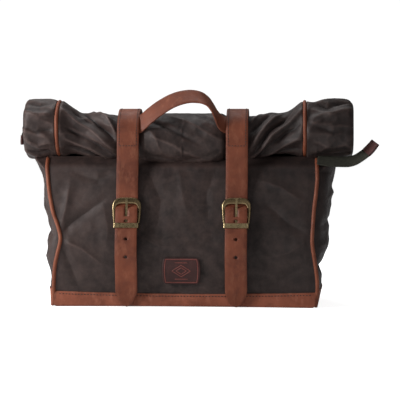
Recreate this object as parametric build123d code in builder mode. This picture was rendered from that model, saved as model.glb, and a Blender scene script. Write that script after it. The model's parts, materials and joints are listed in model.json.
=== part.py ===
"""Roll-top motorcycle saddlebag of waxed canvas with leather straps, buckles and a carrying handle.

Millimetres. X runs to the right, Y to the back, Z up. The origin is the middle of the base, on the
surface that the bag stands on. The front of the bag faces -Y.
"""

import os
from math import acos, atan2, cos, hypot, pi, sin

from build123d import *

os.makedirs("parts", exist_ok=True)

# ---------------------------------------------------------------- driving dimensions
half_width = 185.0  # middle of the bag to its corner seams
front_depth = 76.2  # origin to the fullest part of the front
back_depth = 72.0  # origin to the flat back
mouth_z = 203.0  # where the side panels end, below the ears of the roll
base_inset = 6.2  # how far the foot of the front stands behind its fullest part

cloth = 2.6  # waxed canvas with its backing
base_leather = 2.4
base_floor = 3.0
base_band = 19.0  # height of the leather band at the front and the back
gusset_band = 25.0  # height of the leather at the sides
gap = 0.3  # between pieces that lie on each other
seam = 0.15  # between pieces that are sewn or pressed together

piping_r = 2.6
ring_piping_r = 2.4

roll_y = -16.0  # axis of the rolled top
roll_rise = 38.0  # height of that axis over the side panels
roll_r = 34.0
cinched_r = 29.5  # the roll where a strap pulls it in
ear_r = 41.0
ear_rise = 11.0  # the ears stand this much higher than the middle of the roll
left_ear_end = 43.0  # how far each ear reaches past the side seams
right_ear_end = 56.0
rings = {-1: -6.0, 1: -13.0}  # each ear's ring of piping, outwards from the side seams

strap_x = 77.0  # middle of each strap
strap_width = 31.0
strap_thickness = 2.8
underlay_thickness = 2.0
hole_r = 2.25
hole_pitch = 25.0

buckle_z = 119.5  # where the buckle's heel bar stands over the front
buckle_standoff = 6.0  # heel bar to canvas
heel_r = 1.7
frame_height = 34.0  # heel bar to the top of the frame
frame_thickness = 3.4
front_bar = 8.5
frame_rail = 4.0
chape_thickness = 1.8
chape_length = 36.0
keeper_height = 6.6
keeper_wall = 1.6
keeper_travel = 5.0
tongue_width = 3.0
tongue_thickness = 2.2

handle_width = 25.0
handle_thickness = 2.4
handle_crown = 36.0  # height of the handle's arch over its pivot
handle_angle = 155 * pi / 180  # where round the roll the handle is held
handle_reach = 40.0  # roll axis to the handle's pivot

webbing_width = 20.0
webbing_thickness = 1.8
tip_length = 14.0

patch_width = 54.0
patch_height = 37.5
patch_thickness = 1.8
patch_z = 52.0

eyelet_bore_r = 4.2
eyelet_barrel_r = 5.2
eyelet_flange_r = 9.0
eyelet_spacing_x = 220.0
eyelet_margin = 20.0  # middle of an eyelet to the edge of the leather above and below it
panel_board = 2.0
base_board_thickness = 2.5
lining_thickness = 0.9

# ---------------------------------------------------------------- worked out from them
facing_low = base_band + 11  # the leather facing on the back
facing_high = mouth_z - 73
eyelet_z = (facing_low + facing_high) / 2
eyelet_spacing_z = facing_high - facing_low - 2 * eyelet_margin
roll_z = mouth_z + roll_rise
ear_z = roll_z + ear_rise
piping_room = piping_r + gap  # centre of the piping to the cloth beside it
piping_back = 1.0  # centre of the piping behind the face of the front
reach = 2 * (half_width + front_depth + mouth_z)  # past everything
ribbon_r = cinched_r + gap + underlay_thickness + gap + handle_thickness + gap
strap_r = ribbon_r + strap_thickness / 2  # roll axis to the middle of a strap
underlay_r = cinched_r + gap + underlay_thickness / 2

# Side view of the front and the back, outside faces, as (y, z) from the foot up.
front_foot = -(front_depth - base_inset)
front_low = (-(front_depth - 2.2), base_band + 11)
front_full = (-front_depth, 84.0)
front_lean = 0.2  # how far the front goes back for each millimetre of height above that
front_top = (front_full[0] + front_lean * (mouth_z - 38 - front_full[1]), mouth_z - 38)
front_mouth = (front_top[0] + 19, mouth_z + 10)
front_line = [(front_foot, base_floor + gap), (front_foot, base_band), front_low, front_full]
front_line += [front_top, front_mouth]
back_top = (back_depth - 12, mouth_z - 13)
back_line = [(back_depth, base_floor + gap), (back_depth, mouth_z - 63), back_top]

# Outline seen from the front, as (height as a share of mouth_z, offset from half_width).
# The sides are full above and below, and pinched in between.
left_seam = [(0, -4), (0.27, -7), (0.49, -15), (0.675, -3), (0.89, 6), (1, 3)]
left_side = [(0, 3), (0.27, 5), (0.49, 5), (0.675, 8), (0.89, 15), (1, 21)]
right_seam = [(0, 1.5), (0.27, 2), (0.49, -2.5), (0.675, -1), (0.89, 3), (1, 2)]
right_side = [(0, 11), (0.27, 13), (0.49, 16), (0.675, 20), (0.89, 24), (1, 25)]
back_seam = [(0, -2), (0.27, 0), (0.49, 1), (0.675, 3), (0.89, 5), (1, 5)]
seams = {-1: left_seam, 1: right_seam}
sides = {-1: left_side, 1: right_side}

# The buckle's own directions: up along the strap, and out from the bag.
lean_length = hypot(1, front_lean)
up = (front_lean / lean_length, 1 / lean_length)
out = (-up[1], up[0])
buckle_foot_y = front_full[0] + front_lean * (buckle_z - front_full[1])
heel = (buckle_foot_y + buckle_standoff * out[0], buckle_z + buckle_standoff * out[1])

frame_back = -0.9  # the frame's back face from the heel bar's axis
frame_front = frame_back + frame_thickness
opening_half = strap_width / 2 + gap
frame_half = opening_half + frame_rail
bar_low = frame_height - front_bar
loop_inner = heel_r + 0.2
loop_outer = loop_inner + chape_thickness
strap_over = loop_outer + gap + strap_thickness / 2  # strap in front of the heel bar
strap_under = frame_back - gap - strap_thickness / 2  # strap behind the front bar
keeper_top = -2.8  # along the strap from the heel bar
keeper_back = -loop_outer - gap
keeper_front = strap_over + strap_thickness / 2 + gap
strap_end = keeper_top - keeper_height - keeper_travel - 2.9  # where the tail begins
chape_width = strap_width - 3
tongue_over = frame_front + 0.5 + tongue_thickness / 2  # tongue on the front bar
crossing = 19.0  # where the tongue comes through the strap


def finish(piece, name):
    """Labels a finished piece and writes it."""
    piece.part.label = name
    export_step(piece.part, f"parts/{name}.step")


def at_height(line, z):
    """Gives the y of a side line at a height."""
    for (y0, z0), (y1, z1) in zip(line, line[1:]):
        if z <= z1:
            return y0 + (y1 - y0) * (z - z0) / (z1 - z0)
    return line[-1][0]


def at_share(offsets, z):
    """Gives the offset of a seam or side at a height."""
    share = z / mouth_z
    for (s0, w0), (s1, w1) in zip(offsets, offsets[1:]):
        if share <= s1:
            return w0 + (w1 - w0) * (share - s0) / (s1 - s0)
    return offsets[-1][1]


def seam_x(side, z, inside=0.0):
    """Gives the x of a front corner seam, drawn in by a distance."""
    return side * (half_width + at_share(seams[side], z) - inside)


def on_buckle(u, v):
    """Gives (y, z) of a point u along the strap and v out from the heel bar."""
    return (heel[0] + u * up[0] + v * out[0], heel[1] + u * up[1] + v * out[1])


def face_plane(x, v=0.0):
    """Gives a plane that faces out of the bag, with its y up along the strap."""
    y, z = on_buckle(0, v)
    return Plane(origin=(x, y, z), x_dir=(1, 0, 0), z_dir=(0, *out))


def side_plane(x):
    """Gives a plane across the strap, with its x out of the bag and its y up along the strap."""
    return Plane(origin=(x, *heel), x_dir=(0, *out), z_dir=(-1, 0, 0))


def wall_plane(y, z):
    """Gives an upright plane that faces the front, with its origin at a height."""
    return Plane(origin=(0, y, z), x_dir=(1, 0, 0), z_dir=(0, -1, 0))


def tangent_angle(point, radius, turn):
    """Gives the angle round the roll at which a line from a point touches a circle."""
    dy, dz = point[0] - roll_y, point[1] - roll_z
    return (atan2(dz, dy) % (2 * pi)) + turn * acos(radius / hypot(dy, dz))


def tangent_corner(radius, angle_a, angle_b):
    """Gives the point where two tangents of a circle round the roll meet."""
    middle, half = (angle_a + angle_b) / 2, (angle_a - angle_b) / 2
    distance = radius / cos(half)
    return (roll_y + distance * cos(middle), roll_z + distance * sin(middle))


def roll_stations():
    """Lists (x, rise of the axis, radius) along the rolled top from left to right."""
    cinch = strap_width / 2 + 3
    stations = []
    for side, end in ((-1, left_ear_end), (1, right_ear_end)):
        ring_x = half_width + rings[side]
        groove = ear_r - 2 * ring_piping_r + 0.6
        run = [
            (strap_x - cinch - 22, 0, roll_r),
            (strap_x - cinch, 0, cinched_r),
            (strap_x + cinch, 0, cinched_r),
            ((strap_x + cinch + ring_x) / 2, 0.45 * ear_rise, roll_r),
            (ring_x - 2 * ring_piping_r, ear_rise, ear_r - 2),
            (ring_x - ring_piping_r - gap, ear_rise, groove),
            (ring_x + ring_piping_r + gap, ear_rise, groove),
            (ring_x + 2 * ring_piping_r, ear_rise, ear_r),
            (half_width + end - 9, ear_rise, ear_r),
            (half_width + end, ear_rise, ear_r - 11),
        ]
        stations += [(side * x, rise, r) for x, rise, r in run]
    return sorted(stations)


def roll_shape(grow=0.0):
    """Lofts the rolled top, or the room it needs."""
    with BuildPart() as shape:
        for x, rise, radius in roll_stations():
            centre = Plane(origin=(x, roll_y, roll_z + rise), x_dir=(0, 1, 0), z_dir=(1, 0, 0))
            with BuildSketch(centre):
                Circle(radius + grow)
        loft(ruled=True)
    return shape.part


def ear_ring(side, grow=0.0):
    """Revolves the ring of piping round an ear, or the room it needs."""
    ring_r = ear_r - ring_piping_r + 0.6 + gap
    centre = (side * (half_width + rings[side]), roll_y, ear_z)
    with BuildPart() as shape:
        with BuildSketch(Plane(origin=centre, x_dir=(1, 0, 0), z_dir=(0, -1, 0))):
            with Locations((0, ring_r)):
                Circle(ring_piping_r + grow)
        revolve(axis=Axis(centre, (1, 0, 0)))
    return shape


roll_room = [roll_shape(gap), ear_ring(-1, gap).part, ear_ring(1, gap).part]


# ---------------------------------------------------------------- canvas body
def wall(line, inwards, outline, cut_roll=True):
    """Makes a front or back wall from its side line and its outline seen from the front."""
    outer = list(line)
    inner = [(y + inwards * cloth, z) for y, z in reversed(line)]
    with BuildPart() as piece:
        with BuildSketch(Plane.YZ):
            with BuildLine():
                Polyline(*outer, *inner, close=True)
            make_face()
        extrude(amount=reach, both=True)
        with BuildSketch(Plane.XZ):
            with BuildLine():
                Polyline(*outline, close=True)
            make_face()
        extrude(amount=reach, both=True, mode=Mode.INTERSECT)
        if cut_roll:
            for room in roll_room:
                add(room, mode=Mode.SUBTRACT)
    return piece


def levels(low, high):
    """Lists the heights at which the sides bend, between two heights."""
    inside = [share * mouth_z for share, _ in left_seam if low < share * mouth_z < high]
    return [low, *inside, high]


heights = levels(base_floor + gap, mouth_z)
shoulder = strap_x + strap_width / 2 + 12
left_edge = [(seam_x(-1, z, piping_room), z) for z in heights]
right_edge = [(seam_x(1, z, piping_room), z) for z in reversed(heights)]
crest = [(-shoulder - 20, mouth_z), (-shoulder, mouth_z + 18), (shoulder, mouth_z + 18)]
crest += [(shoulder + 50, mouth_z + 16), (shoulder + 66, mouth_z)]

front_panel = wall(front_line, 1, left_edge + crest + right_edge)
finish(front_panel, "front_panel")

roof_angle = tangent_angle(back_top, cinched_r, 1) - 2 * pi
roof_tangent = (roll_y + cinched_r * cos(roof_angle), roll_z + cinched_r * sin(roof_angle))
back_half = [(half_width + at_share(back_seam, z) - piping_room, z) for z in heights]
back_outline = [(-x, z) for x, z in back_half]
back_outline += [(-back_half[-1][0], ear_z + ear_r), (back_half[-1][0], ear_z + ear_r)]
back_outline += reversed(back_half)
eyelet_places = GridLocations(eyelet_spacing_x, eyelet_spacing_z, 2, 2)
with BuildPart() as back_panel:
    add(wall(back_line + [roof_tangent], -1, back_outline).part)
    with BuildSketch(wall_plane(0, eyelet_z)):
        with eyelet_places:
            Circle(eyelet_barrel_r + seam)
    extrude(amount=-reach, mode=Mode.SUBTRACT)
finish(back_panel, "back_panel")


def gusset_arcs(side, z, inside):
    """Gives front, fullest and back points of a side panel at a height."""
    front = at_height(front_line, z) + piping_back + piping_room
    back = at_height(back_line, z) - piping_back - piping_room
    middle = side * (half_width + at_share(sides[side], z) - inside)
    back_x = side * (half_width + at_share(back_seam, z) - inside)
    return (seam_x(side, z, inside), front), (middle, (front + back) / 2), (back_x, back)


def gusset(side, low, high):
    """Lofts a bulging side panel between two heights."""
    with BuildPart() as piece:
        for z in levels(low, high):
            with BuildSketch(Plane.XY.offset(z)):
                with BuildLine():
                    outer = ThreePointArc(*gusset_arcs(side, z, 0))
                    inner = ThreePointArc(*gusset_arcs(side, z, cloth))
                    Line(outer @ 0, inner @ 0)
                    Line(outer @ 1, inner @ 1)
                make_face()
        loft(ruled=True)
    return piece


gusset_top = ear_z - ear_r - 3
hands = (("left", -1), ("right", 1))
for hand, side in hands:
    finish(gusset(side, gusset_band + seam, gusset_top), f"{hand}_gusset")

    with BuildPart() as gusset_base:
        add(gusset(side, 0, gusset_band).part)
        with BuildSketch():
            with BuildLine():
                curve = ThreePointArc(*gusset_arcs(side, 0, cloth / 2))
                Polyline(curve @ 1, (side * (half_width - 12), (curve @ 1).Y),
                         (side * (half_width - 12), (curve @ 0).Y), curve @ 0)
            make_face()
        extrude(amount=base_floor)
    finish(gusset_base, f"{hand}_gusset_base")

# ---------------------------------------------------------------- leather base and stiffeners
with BuildPart() as leather_base:
    front_face = front_foot - gap - base_leather
    back_face = back_depth + gap + base_leather
    with BuildSketch(Plane.YZ):
        with BuildLine():
            Polyline((front_face, base_band), (front_face, 0), (back_face, 0),
                     (back_face, base_band), (back_face - base_leather, base_band),
                     (back_face - base_leather, base_floor),
                     (front_face + base_leather, base_floor),
                     (front_face + base_leather, base_band), close=True)
        make_face()
    extrude(amount=half_width - 12 - seam, both=True)
    front_ends = [(seam_x(side, z, piping_room), z) for side, z in
                  ((-1, 0), (1, 0), (1, base_band), (-1, base_band))]
    back_x = half_width + back_seam[0][1] - piping_room
    back_ends = [(-back_x, 0), (back_x, 0), (back_x, base_band), (-back_x, base_band)]
    for flange_y, ends in ((front_face + base_leather, front_ends), (back_face, back_ends)):
        with BuildSketch(wall_plane(flange_y, 0)):
            with BuildLine():
                Polyline(*ends, close=True)
            make_face()
        extrude(amount=base_leather)
finish(leather_base, "leather_base")

with BuildPart() as base_board:
    with BuildSketch(Plane.XY.offset(base_floor + gap)):
        with BuildLine():
            x = half_width - 14
            front, back = front_foot + cloth + gap, back_depth - cloth - gap
            Polyline((-x, front), (x, front), (x, back), (-x, back), close=True)
        make_face()
    extrude(amount=base_board_thickness)
finish(base_board, "base_board")

board_back = back_depth - cloth - gap
with BuildPart() as back_board:
    with BuildSketch(wall_plane(board_back, eyelet_z)):
        Rectangle(1.7 * half_width, 2 * (back_line[1][1] - 6 - eyelet_z))
        with eyelet_places:
            Circle(eyelet_barrel_r + seam, mode=Mode.SUBTRACT)
    extrude(amount=panel_board)
finish(back_board, "back_board")

bottom_z = base_floor + gap + base_board_thickness + gap
lining_top = mouth_z - 6
lining_side = half_width - 22
lining_front = [(y + cloth + 1.4, z) for y, z in front_line[1:5]]
lining_front.append((at_height(front_line, lining_top) + cloth + 1.4, lining_top))
lining_back = [(back_top[0] - cloth - 6, lining_top),
               (board_back - panel_board - gap - 1, back_line[1][1])]


def lining_block(shrink, bottom, top):
    """Makes the lining's outer or inner block."""
    front = [(y + shrink, z) for y, z in lining_front]
    back = [(y - shrink, z) for y, z in lining_back]
    with BuildPart() as block:
        with BuildSketch(Plane.YZ):
            with BuildLine():
                Polyline((front[0][0], bottom), *front[:-1], (front[-1][0], top), (back[0][0], top),
                         back[1], (back[1][0], bottom), close=True)
            make_face()
        extrude(amount=lining_side - shrink, both=True)
    return block.part


with BuildPart() as lining:
    add(lining_block(0, bottom_z, lining_top))
    add(lining_block(lining_thickness, bottom_z + lining_thickness, lining_top + 1), mode=Mode.SUBTRACT)
finish(lining, "lining")

# ---------------------------------------------------------------- rolled top and its webbing
roll_core = Plane(origin=(0, roll_y, roll_z), x_dir=(0, 1, 0), z_dir=(1, 0, 0))
with BuildPart() as mouth_webbing:
    with BuildSketch(roll_core):
        Rectangle(webbing_width, webbing_thickness)
    extrude(amount=half_width, both=True)
finish(mouth_webbing, "mouth_webbing")

with BuildPart() as roll_top:
    add(roll_shape())
    with BuildSketch(roll_core):
        Rectangle(webbing_width + 2 * seam, webbing_thickness + 2 * seam)
    extrude(amount=half_width + seam, both=True, mode=Mode.SUBTRACT)
finish(roll_top, "roll_top")

# Each end of the mouth's webbing comes out at an ear: at the right it runs along under the ear
# and then swings free, at the left it hangs from the ear's end.
slant = (0, 0.714, 0.7)


def webbing(points, radius, start_y, thickness=webbing_thickness, rounded=False):
    """Makes a slanting strip that follows points seen from the front, with a rounded start if asked."""
    with BuildPart() as strip:
        with BuildSketch(Plane.XZ.offset(-start_y)):
            with BuildLine():
                FilletPolyline(*points, radius=radius)
            trace(line_width=thickness / slant[2])
            if rounded:
                with Locations(points[0]):
                    Ellipse(thickness / 2, thickness / 2 / slant[2])
        extrude(amount=webbing_width / 2, both=True, dir=slant)
    return strip


tab_y = roll_y - 24
right_end = half_width + right_ear_end
under_ear = ear_z - ear_r - 7
tab_hinge = (right_end - 17, under_ear)
right_webbing = webbing([(half_width + 9, under_ear + 1.2), (half_width + 22, under_ear + 0.4),
                         (tab_hinge[0] - webbing_thickness / 2 - 2 * gap, under_ear)], 40, tab_y)
finish(right_webbing, "right_webbing")
tab_bend = (right_end - 3, under_ear + 1)
tab_end = (right_end + 19, under_ear + 14)
right_tab = webbing([tab_hinge, tab_bend, tab_end], 24, tab_y, rounded=True)
finish(right_tab, "right_webbing_tab")
tip_run = hypot(tab_end[0] - tab_bend[0], tab_end[1] - tab_bend[1])
tip_way = ((tab_end[0] - tab_bend[0]) / tip_run, (tab_end[1] - tab_bend[1]) / tip_run)


def beyond(point, way, distance):
    """Gives the point a distance along a way."""
    return (point[0] + way[0] * distance, point[1] + way[1] * distance)


right_tip = webbing([beyond(tab_end, tip_way, seam), beyond(tab_end, tip_way, 5),
                     beyond(beyond(tab_end, tip_way, 5), (tip_way[1] * 0.6, 0.8), tip_length - 5)],
                    6, tab_y, 2 * webbing_thickness)
finish(right_tip, "right_tab_tip")

left_end = -(half_width + left_ear_end)
left_hinge = (left_end - 2.5, ear_z - 1)
left_tab = webbing([left_hinge, beyond(left_hinge, (-0.5, -1), 4), beyond(left_hinge, (-0.2, -1), 12)],
                   8, roll_y, rounded=True)
finish(left_tab, "left_webbing_tab")
left_tip_top = beyond(left_hinge, (-0.2, -1), 12 + 2 * seam)
left_tip = webbing([left_tip_top, beyond(left_tip_top, (0.05, -1), 6), beyond(left_tip_top, (0, -1), 12)],
                   20, roll_y, 2 * webbing_thickness)
finish(left_tip, "left_tab_tip")


# ---------------------------------------------------------------- piping
def corner_piping(points):
    """Sweeps a corner's piping along its points."""
    with BuildPart() as piece:
        with BuildLine() as route:
            FilletPolyline(*points, radius=[25] * (len(points) - 2))
        with BuildSketch(Plane(origin=route.line @ 0, z_dir=route.line % 0)):
            Circle(piping_r)
        sweep()
    return piece


for hand, side in hands:
    rises = [base_floor / 2, *heights[1:-1], mouth_z - 2]
    front_points = [(seam_x(side, z), at_height(front_line, z) + piping_back, z) for z in rises]
    back_points = [(side * (half_width + at_share(back_seam, z)),
                    at_height(back_line, z) - piping_back, z) for z in rises]
    finish(corner_piping(front_points), f"front_{hand}_piping")
    finish(corner_piping(back_points), f"back_{hand}_piping")
    finish(ear_ring(side), f"{hand}_roll_piping")

# ---------------------------------------------------------------- straps
strap_front = on_buckle(frame_height + 2, strap_under)
strap_back_offset = gap + underlay_thickness + gap + strap_thickness / 2
strap_shoulder = (back_top[0] + 0.92 * strap_back_offset, back_top[1] + 0.44 * strap_back_offset)
strap_foot_z = mouth_z - 56
strap_foot = (at_height(back_line, strap_foot_z) + 1.03 * strap_back_offset, strap_foot_z)
underlay_shoulder = (back_top[0] + 0.92 * (gap + underlay_thickness / 2),
                     back_top[1] + 0.44 * (gap + underlay_thickness / 2))
underlay_foot = (at_height(back_line, strap_foot_z) + 1.03 * (gap + underlay_thickness / 2),
                 strap_foot_z)


def over_roll(front_point, back_point, radius):
    """Gives the two corners of a band that is drawn tight over the roll."""
    front_angle = tangent_angle(front_point, radius, -1)
    back_angle = tangent_angle(back_point, radius, 1) - 2 * pi
    return [tangent_corner(radius, front_angle, pi / 2), tangent_corner(radius, pi / 2, back_angle)]


def band(points, radii, x, width, thickness):
    """Makes a strap from its middle line seen from the side."""
    with BuildPart() as piece:
        with BuildSketch(Plane.YZ.offset(x)):
            with BuildLine():
                FilletPolyline(*points, radius=radii)
            trace(line_width=thickness)
        extrude(amount=width / 2, both=True)
    return piece


strap_run = [on_buckle(strap_end + seam, strap_over), on_buckle(crossing - 3.5, strap_over),
             on_buckle(bar_low - 2.6, strap_under), strap_front]
strap_run += over_roll(strap_front, strap_shoulder, strap_r) + [strap_shoulder, strap_foot]
strap_radii = [4, 4, 60, strap_r - 0.3, strap_r - 0.3, 12]
front_angle = tangent_angle(strap_front, strap_r, -1)
underlay_reach = 18.0  # how far the underlay hangs below the roll, under the strap
underlay_front = (
    roll_y + underlay_r * cos(front_angle) - underlay_reach * sin(front_angle),
    roll_z + underlay_r * sin(front_angle) + underlay_reach * cos(front_angle),
)
underlay_run = [underlay_front] + over_roll(underlay_front, underlay_shoulder, underlay_r)
underlay_run += [underlay_shoulder, underlay_foot]

slot_low, slot_high = crossing - 12, crossing + 5  # the tongue's slot along the strap
slot_back, slot_front = 0.4, 8.0  # how deep the slot is cut, out from the heel bar
tail_top = on_buckle(strap_end - 0.6, strap_over)
tail_full = (tail_top[0] + 1.5, tail_top[1] - 25)
tail_foot = (front_foot - gap - base_leather - 0.6 - strap_thickness, 1.3)
tail_run = [tail_top, tail_full, tail_foot]
point_z = 22.0  # where the tail starts to narrow to its point


def tail_holes():
    """Lists the heights of the holes in a tail."""
    first = heel[1] + hole_r
    return [first - hole_pitch, first - 2 * hole_pitch]


for hand, side in hands:
    x = side * strap_x
    with BuildPart() as strap:
        add(band(strap_run, strap_radii, x, strap_width, strap_thickness).part)
        with BuildSketch(side_plane(x)):
            with BuildLine():
                Polyline((slot_back, slot_low), (slot_front, slot_low), (slot_front, slot_high),
                         (slot_back, slot_high), close=True)
            make_face()
        extrude(amount=tongue_width / 2 + gap, both=True, mode=Mode.SUBTRACT)
        with BuildSketch(face_plane(x)):
            with Locations((0, hole_r - 0.5)):
                Circle(hole_r)
        extrude(amount=reach / 10, mode=Mode.SUBTRACT)
    finish(strap, f"{hand}_strap")

    with BuildPart() as tail:
        add(band(tail_run, [60], x, strap_width, strap_thickness).part)
        with BuildSketch(Plane.XZ):
            with BuildLine():
                edge, top = strap_width / 2 + 1, tail_top[1] + 9
                Polyline((x - edge, top), (x - edge, point_z), (x - 6, tail_foot[1]),
                         (x + 6, tail_foot[1]), (x + edge, point_z), (x + edge, top), close=True)
            outline = make_face()
            fillet(outline.vertices().sort_by(Axis.Z)[:2], radius=6)
        extrude(amount=reach, both=True, mode=Mode.INTERSECT)
        with BuildSketch(Plane.XZ):
            with Locations(*[(x, z) for z in tail_holes()]):
                Circle(hole_r)
        extrude(amount=reach, both=True, mode=Mode.SUBTRACT)
    finish(tail, f"{hand}_strap_tail")

    underlay = band(underlay_run, [underlay_r - 0.3, underlay_r - 0.3, 8], x, strap_width - 4,
                    underlay_thickness)
    finish(underlay, f"{hand}_strap_underlay")

# ---------------------------------------------------------------- buckles
for hand, side in hands:
    x = side * strap_x
    face = face_plane(x, frame_back)
    with BuildPart() as frame:
        with BuildSketch(face):
            with BuildLine():
                wide, foot = frame_half, frame_half - 2.2
                Polyline((-foot, -2.2), (-wide, 18), (-wide + 0.4, frame_height),
                         (wide - 0.4, frame_height), (wide, 18), (foot, -2.2), close=True)
            outer = make_face()
            fillet(outer.vertices().group_by(Axis.Z)[-1], radius=6.5)
        extrude(amount=frame_thickness)
        fillet(frame.faces().sort_by(Axis.Y)[0].edges(), radius=1.1)
        with BuildSketch(face):
            with BuildLine():
                narrow = chape_width / 2 + 0.5
                Polyline((-narrow, -5), (-narrow, 2), (-opening_half, 9), (-opening_half, bar_low),
                         (opening_half, bar_low), (opening_half, 9), (narrow, 2), (narrow, -5),
                         close=True)
            inner = make_face()
            fillet(inner.vertices().group_by(Axis.Z)[-1], radius=4)
        extrude(amount=frame_thickness, mode=Mode.SUBTRACT)
        with BuildSketch(side_plane(x)):
            Circle(heel_r)
        extrude(amount=chape_width / 2 + 1, both=True)
    finish(frame, f"{hand}_buckle_frame")

    with BuildPart() as tongue:
        with BuildSketch(side_plane(x)):
            Circle(loop_outer - gap)
        extrude(amount=tongue_width / 2, both=True)
        with BuildSketch(side_plane(x)):
            with BuildLine():
                FilletPolyline((2.2, 0), (2.3, crossing - 7), (tongue_over, bar_low),
                               (tongue_over - 0.1, frame_height - 1), radius=[14, 14])
            trace(line_width=tongue_thickness)
        extrude(amount=tongue_width / 2, both=True)
        with BuildSketch(side_plane(x)):
            Circle(loop_inner)
        extrude(amount=tongue_width, both=True, mode=Mode.SUBTRACT)
    finish(tongue, f"{hand}_buckle_tongue")

    with BuildPart() as chape:
        back_v, front_v = -(loop_inner + chape_thickness / 2), loop_inner + chape_thickness / 2
        sewn = -(buckle_standoff - gap - chape_thickness / 2)
        lap = chape_thickness + seam
        for leg in (
            [(sewn, -chape_length), (sewn, -25), (back_v, -17), (back_v, 0)],
            [(front_v, 0), (front_v, -2), (back_v + lap, -11), (back_v + lap, -17), (sewn + lap, -25),
             (sewn + lap, 1 - chape_length)],
        ):
            with BuildSketch(side_plane(x)):
                with BuildLine():
                    FilletPolyline(*leg, radius=[2.5] * (len(leg) - 2))
                trace(line_width=chape_thickness)
            extrude(amount=chape_width / 2, both=True)
        with BuildSketch(side_plane(x)):
            Circle(loop_outer)
            Circle(loop_inner, mode=Mode.SUBTRACT)
            with Locations((0, -loop_outer / 2)):
                Rectangle(2 * loop_outer, loop_outer, mode=Mode.SUBTRACT)
        extrude(amount=chape_width / 2, both=True)
        with BuildSketch(side_plane(x)):
            Rectangle(20, 10)
        extrude(amount=tongue_width / 2 + 0.8, both=True, mode=Mode.SUBTRACT)
    finish(chape, f"{hand}_chape")

    with BuildPart() as keeper:
        start = on_buckle(keeper_top, 0)
        across = Plane(origin=(x, *start), x_dir=(1, 0, 0), z_dir=(0, *up))
        middle = -(keeper_front + keeper_back) / 2
        depth = keeper_front - keeper_back
        window = strap_width + 2 * gap
        with BuildSketch(across):
            with Locations((0, middle)):
                Rectangle(window + 2 * keeper_wall + 0.4, depth + 2 * keeper_wall)
        extrude(amount=-keeper_height)
        fillet(keeper.edges().filter_by(lambda e: abs((e % 0).dot(Vector(0, *up))) > 0.99), radius=1.5)
        with BuildSketch(across):
            with Locations((0, middle)):
                Rectangle(window, depth)
        extrude(amount=-keeper_height, mode=Mode.SUBTRACT)
    finish(keeper, f"{hand}_keeper")

# ---------------------------------------------------------------- handle
ribbon_middle = ribbon_r - gap - handle_thickness / 2
pivot = (roll_y + handle_reach * cos(handle_angle), roll_z + handle_reach * sin(handle_angle))
ruling = (0, sin(handle_angle), -cos(handle_angle))
handle_end = strap_x - strap_width / 2 - 3.5
with BuildPart() as handle:
    with BuildSketch(Plane.XZ.offset(-pivot[0])):
        with BuildLine():
            crown = pivot[1] + handle_crown
            x = handle_end
            FilletPolyline((-x, pivot[1]), (-0.55 * x, crown - 16), (-0.1 * x, crown - 1),
                           (0.45 * x, crown), (0.8 * x, crown - 14), (x, pivot[1]),
                           radius=[24, 24, 20, 12])
        trace(line_width=handle_thickness * 1.3)
    extrude(amount=handle_width / 2, both=True, dir=ruling)
finish(handle, "handle")

half_turn = handle_width / ribbon_middle / 2
for hand, side in hands:
    with BuildPart() as handle_tab:
        with BuildSketch(Plane.YZ.offset(side * (handle_end + 2))):
            with BuildLine():
                arcs = []
                for radius in (ribbon_middle - handle_thickness / 2, ribbon_middle + handle_thickness / 2):
                    places = [(roll_y + radius * cos(angle), roll_z + radius * sin(angle))
                              for angle in (handle_angle - half_turn, handle_angle, handle_angle + half_turn)]
                    arcs.append(ThreePointArc(*places))
                Line(arcs[0] @ 0, arcs[1] @ 0)
                Line(arcs[0] @ 1, arcs[1] @ 1)
            make_face()
        extrude(amount=side * (strap_width - 3))
    finish(handle_tab, f"{hand}_handle_tab")

# ---------------------------------------------------------------- patch, back and rivets
patch_y = at_height(front_line, patch_z)
patch_slope = (front_full[0] - front_low[0]) / (front_full[1] - front_low[1])
with BuildPart() as leather_patch:
    with BuildSketch(Plane(origin=(0, patch_y - gap, patch_z), x_dir=(1, 0, 0), z_dir=(0, -1, patch_slope))):
        with BuildLine():
            side_x, top, bulge = patch_width / 2 - 2.5, patch_height / 2, 2.5
            right = ThreePointArc((side_x, -top), (side_x + bulge, 0), (side_x, top))
            left = ThreePointArc((-side_x, -top), (-side_x - bulge, 0), (-side_x, top))
            Line(right @ 0, left @ 0)
            Line(right @ 1, left @ 1)
        make_face()
    extrude(amount=patch_thickness)
finish(leather_patch, "leather_patch")

outer_leather = back_depth + gap + base_leather
with BuildPart() as back_reinforcement:
    with BuildSketch(wall_plane(back_depth + gap, eyelet_z)):
        Rectangle(eyelet_spacing_x + 60, facing_high - facing_low)
        with eyelet_places:
            Circle(eyelet_barrel_r + seam, mode=Mode.SUBTRACT)
    extrude(amount=-base_leather)
finish(back_reinforcement, "back_reinforcement")

with BuildPart() as mount_eyelets:
    inner_face = board_back - panel_board - gap
    flange = 0.9
    barrel = outer_leather - inner_face + 2 * seam
    start = wall_plane(inner_face - seam, eyelet_z)
    with BuildSketch(start):
        with eyelet_places:
            Circle(eyelet_barrel_r)
    extrude(amount=-barrel - flange)
    with BuildSketch(wall_plane(outer_leather + seam, eyelet_z)):
        with eyelet_places:
            Circle(eyelet_flange_r)
    extrude(amount=-flange)
    with BuildSketch(start):
        with eyelet_places:
            Circle(eyelet_bore_r)
    extrude(amount=-barrel - 2 * flange, mode=Mode.SUBTRACT)
finish(mount_eyelets, "mount_eyelets")
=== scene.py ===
"""Roll-top saddlebag of waxed canvas and pull-up leather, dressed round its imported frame."""

import json
from math import acos, atan2, cos, degrees, dist, exp, hypot, pi, radians, sin

import bmesh
import bpy
from mathutils import Matrix, Vector, noise


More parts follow.
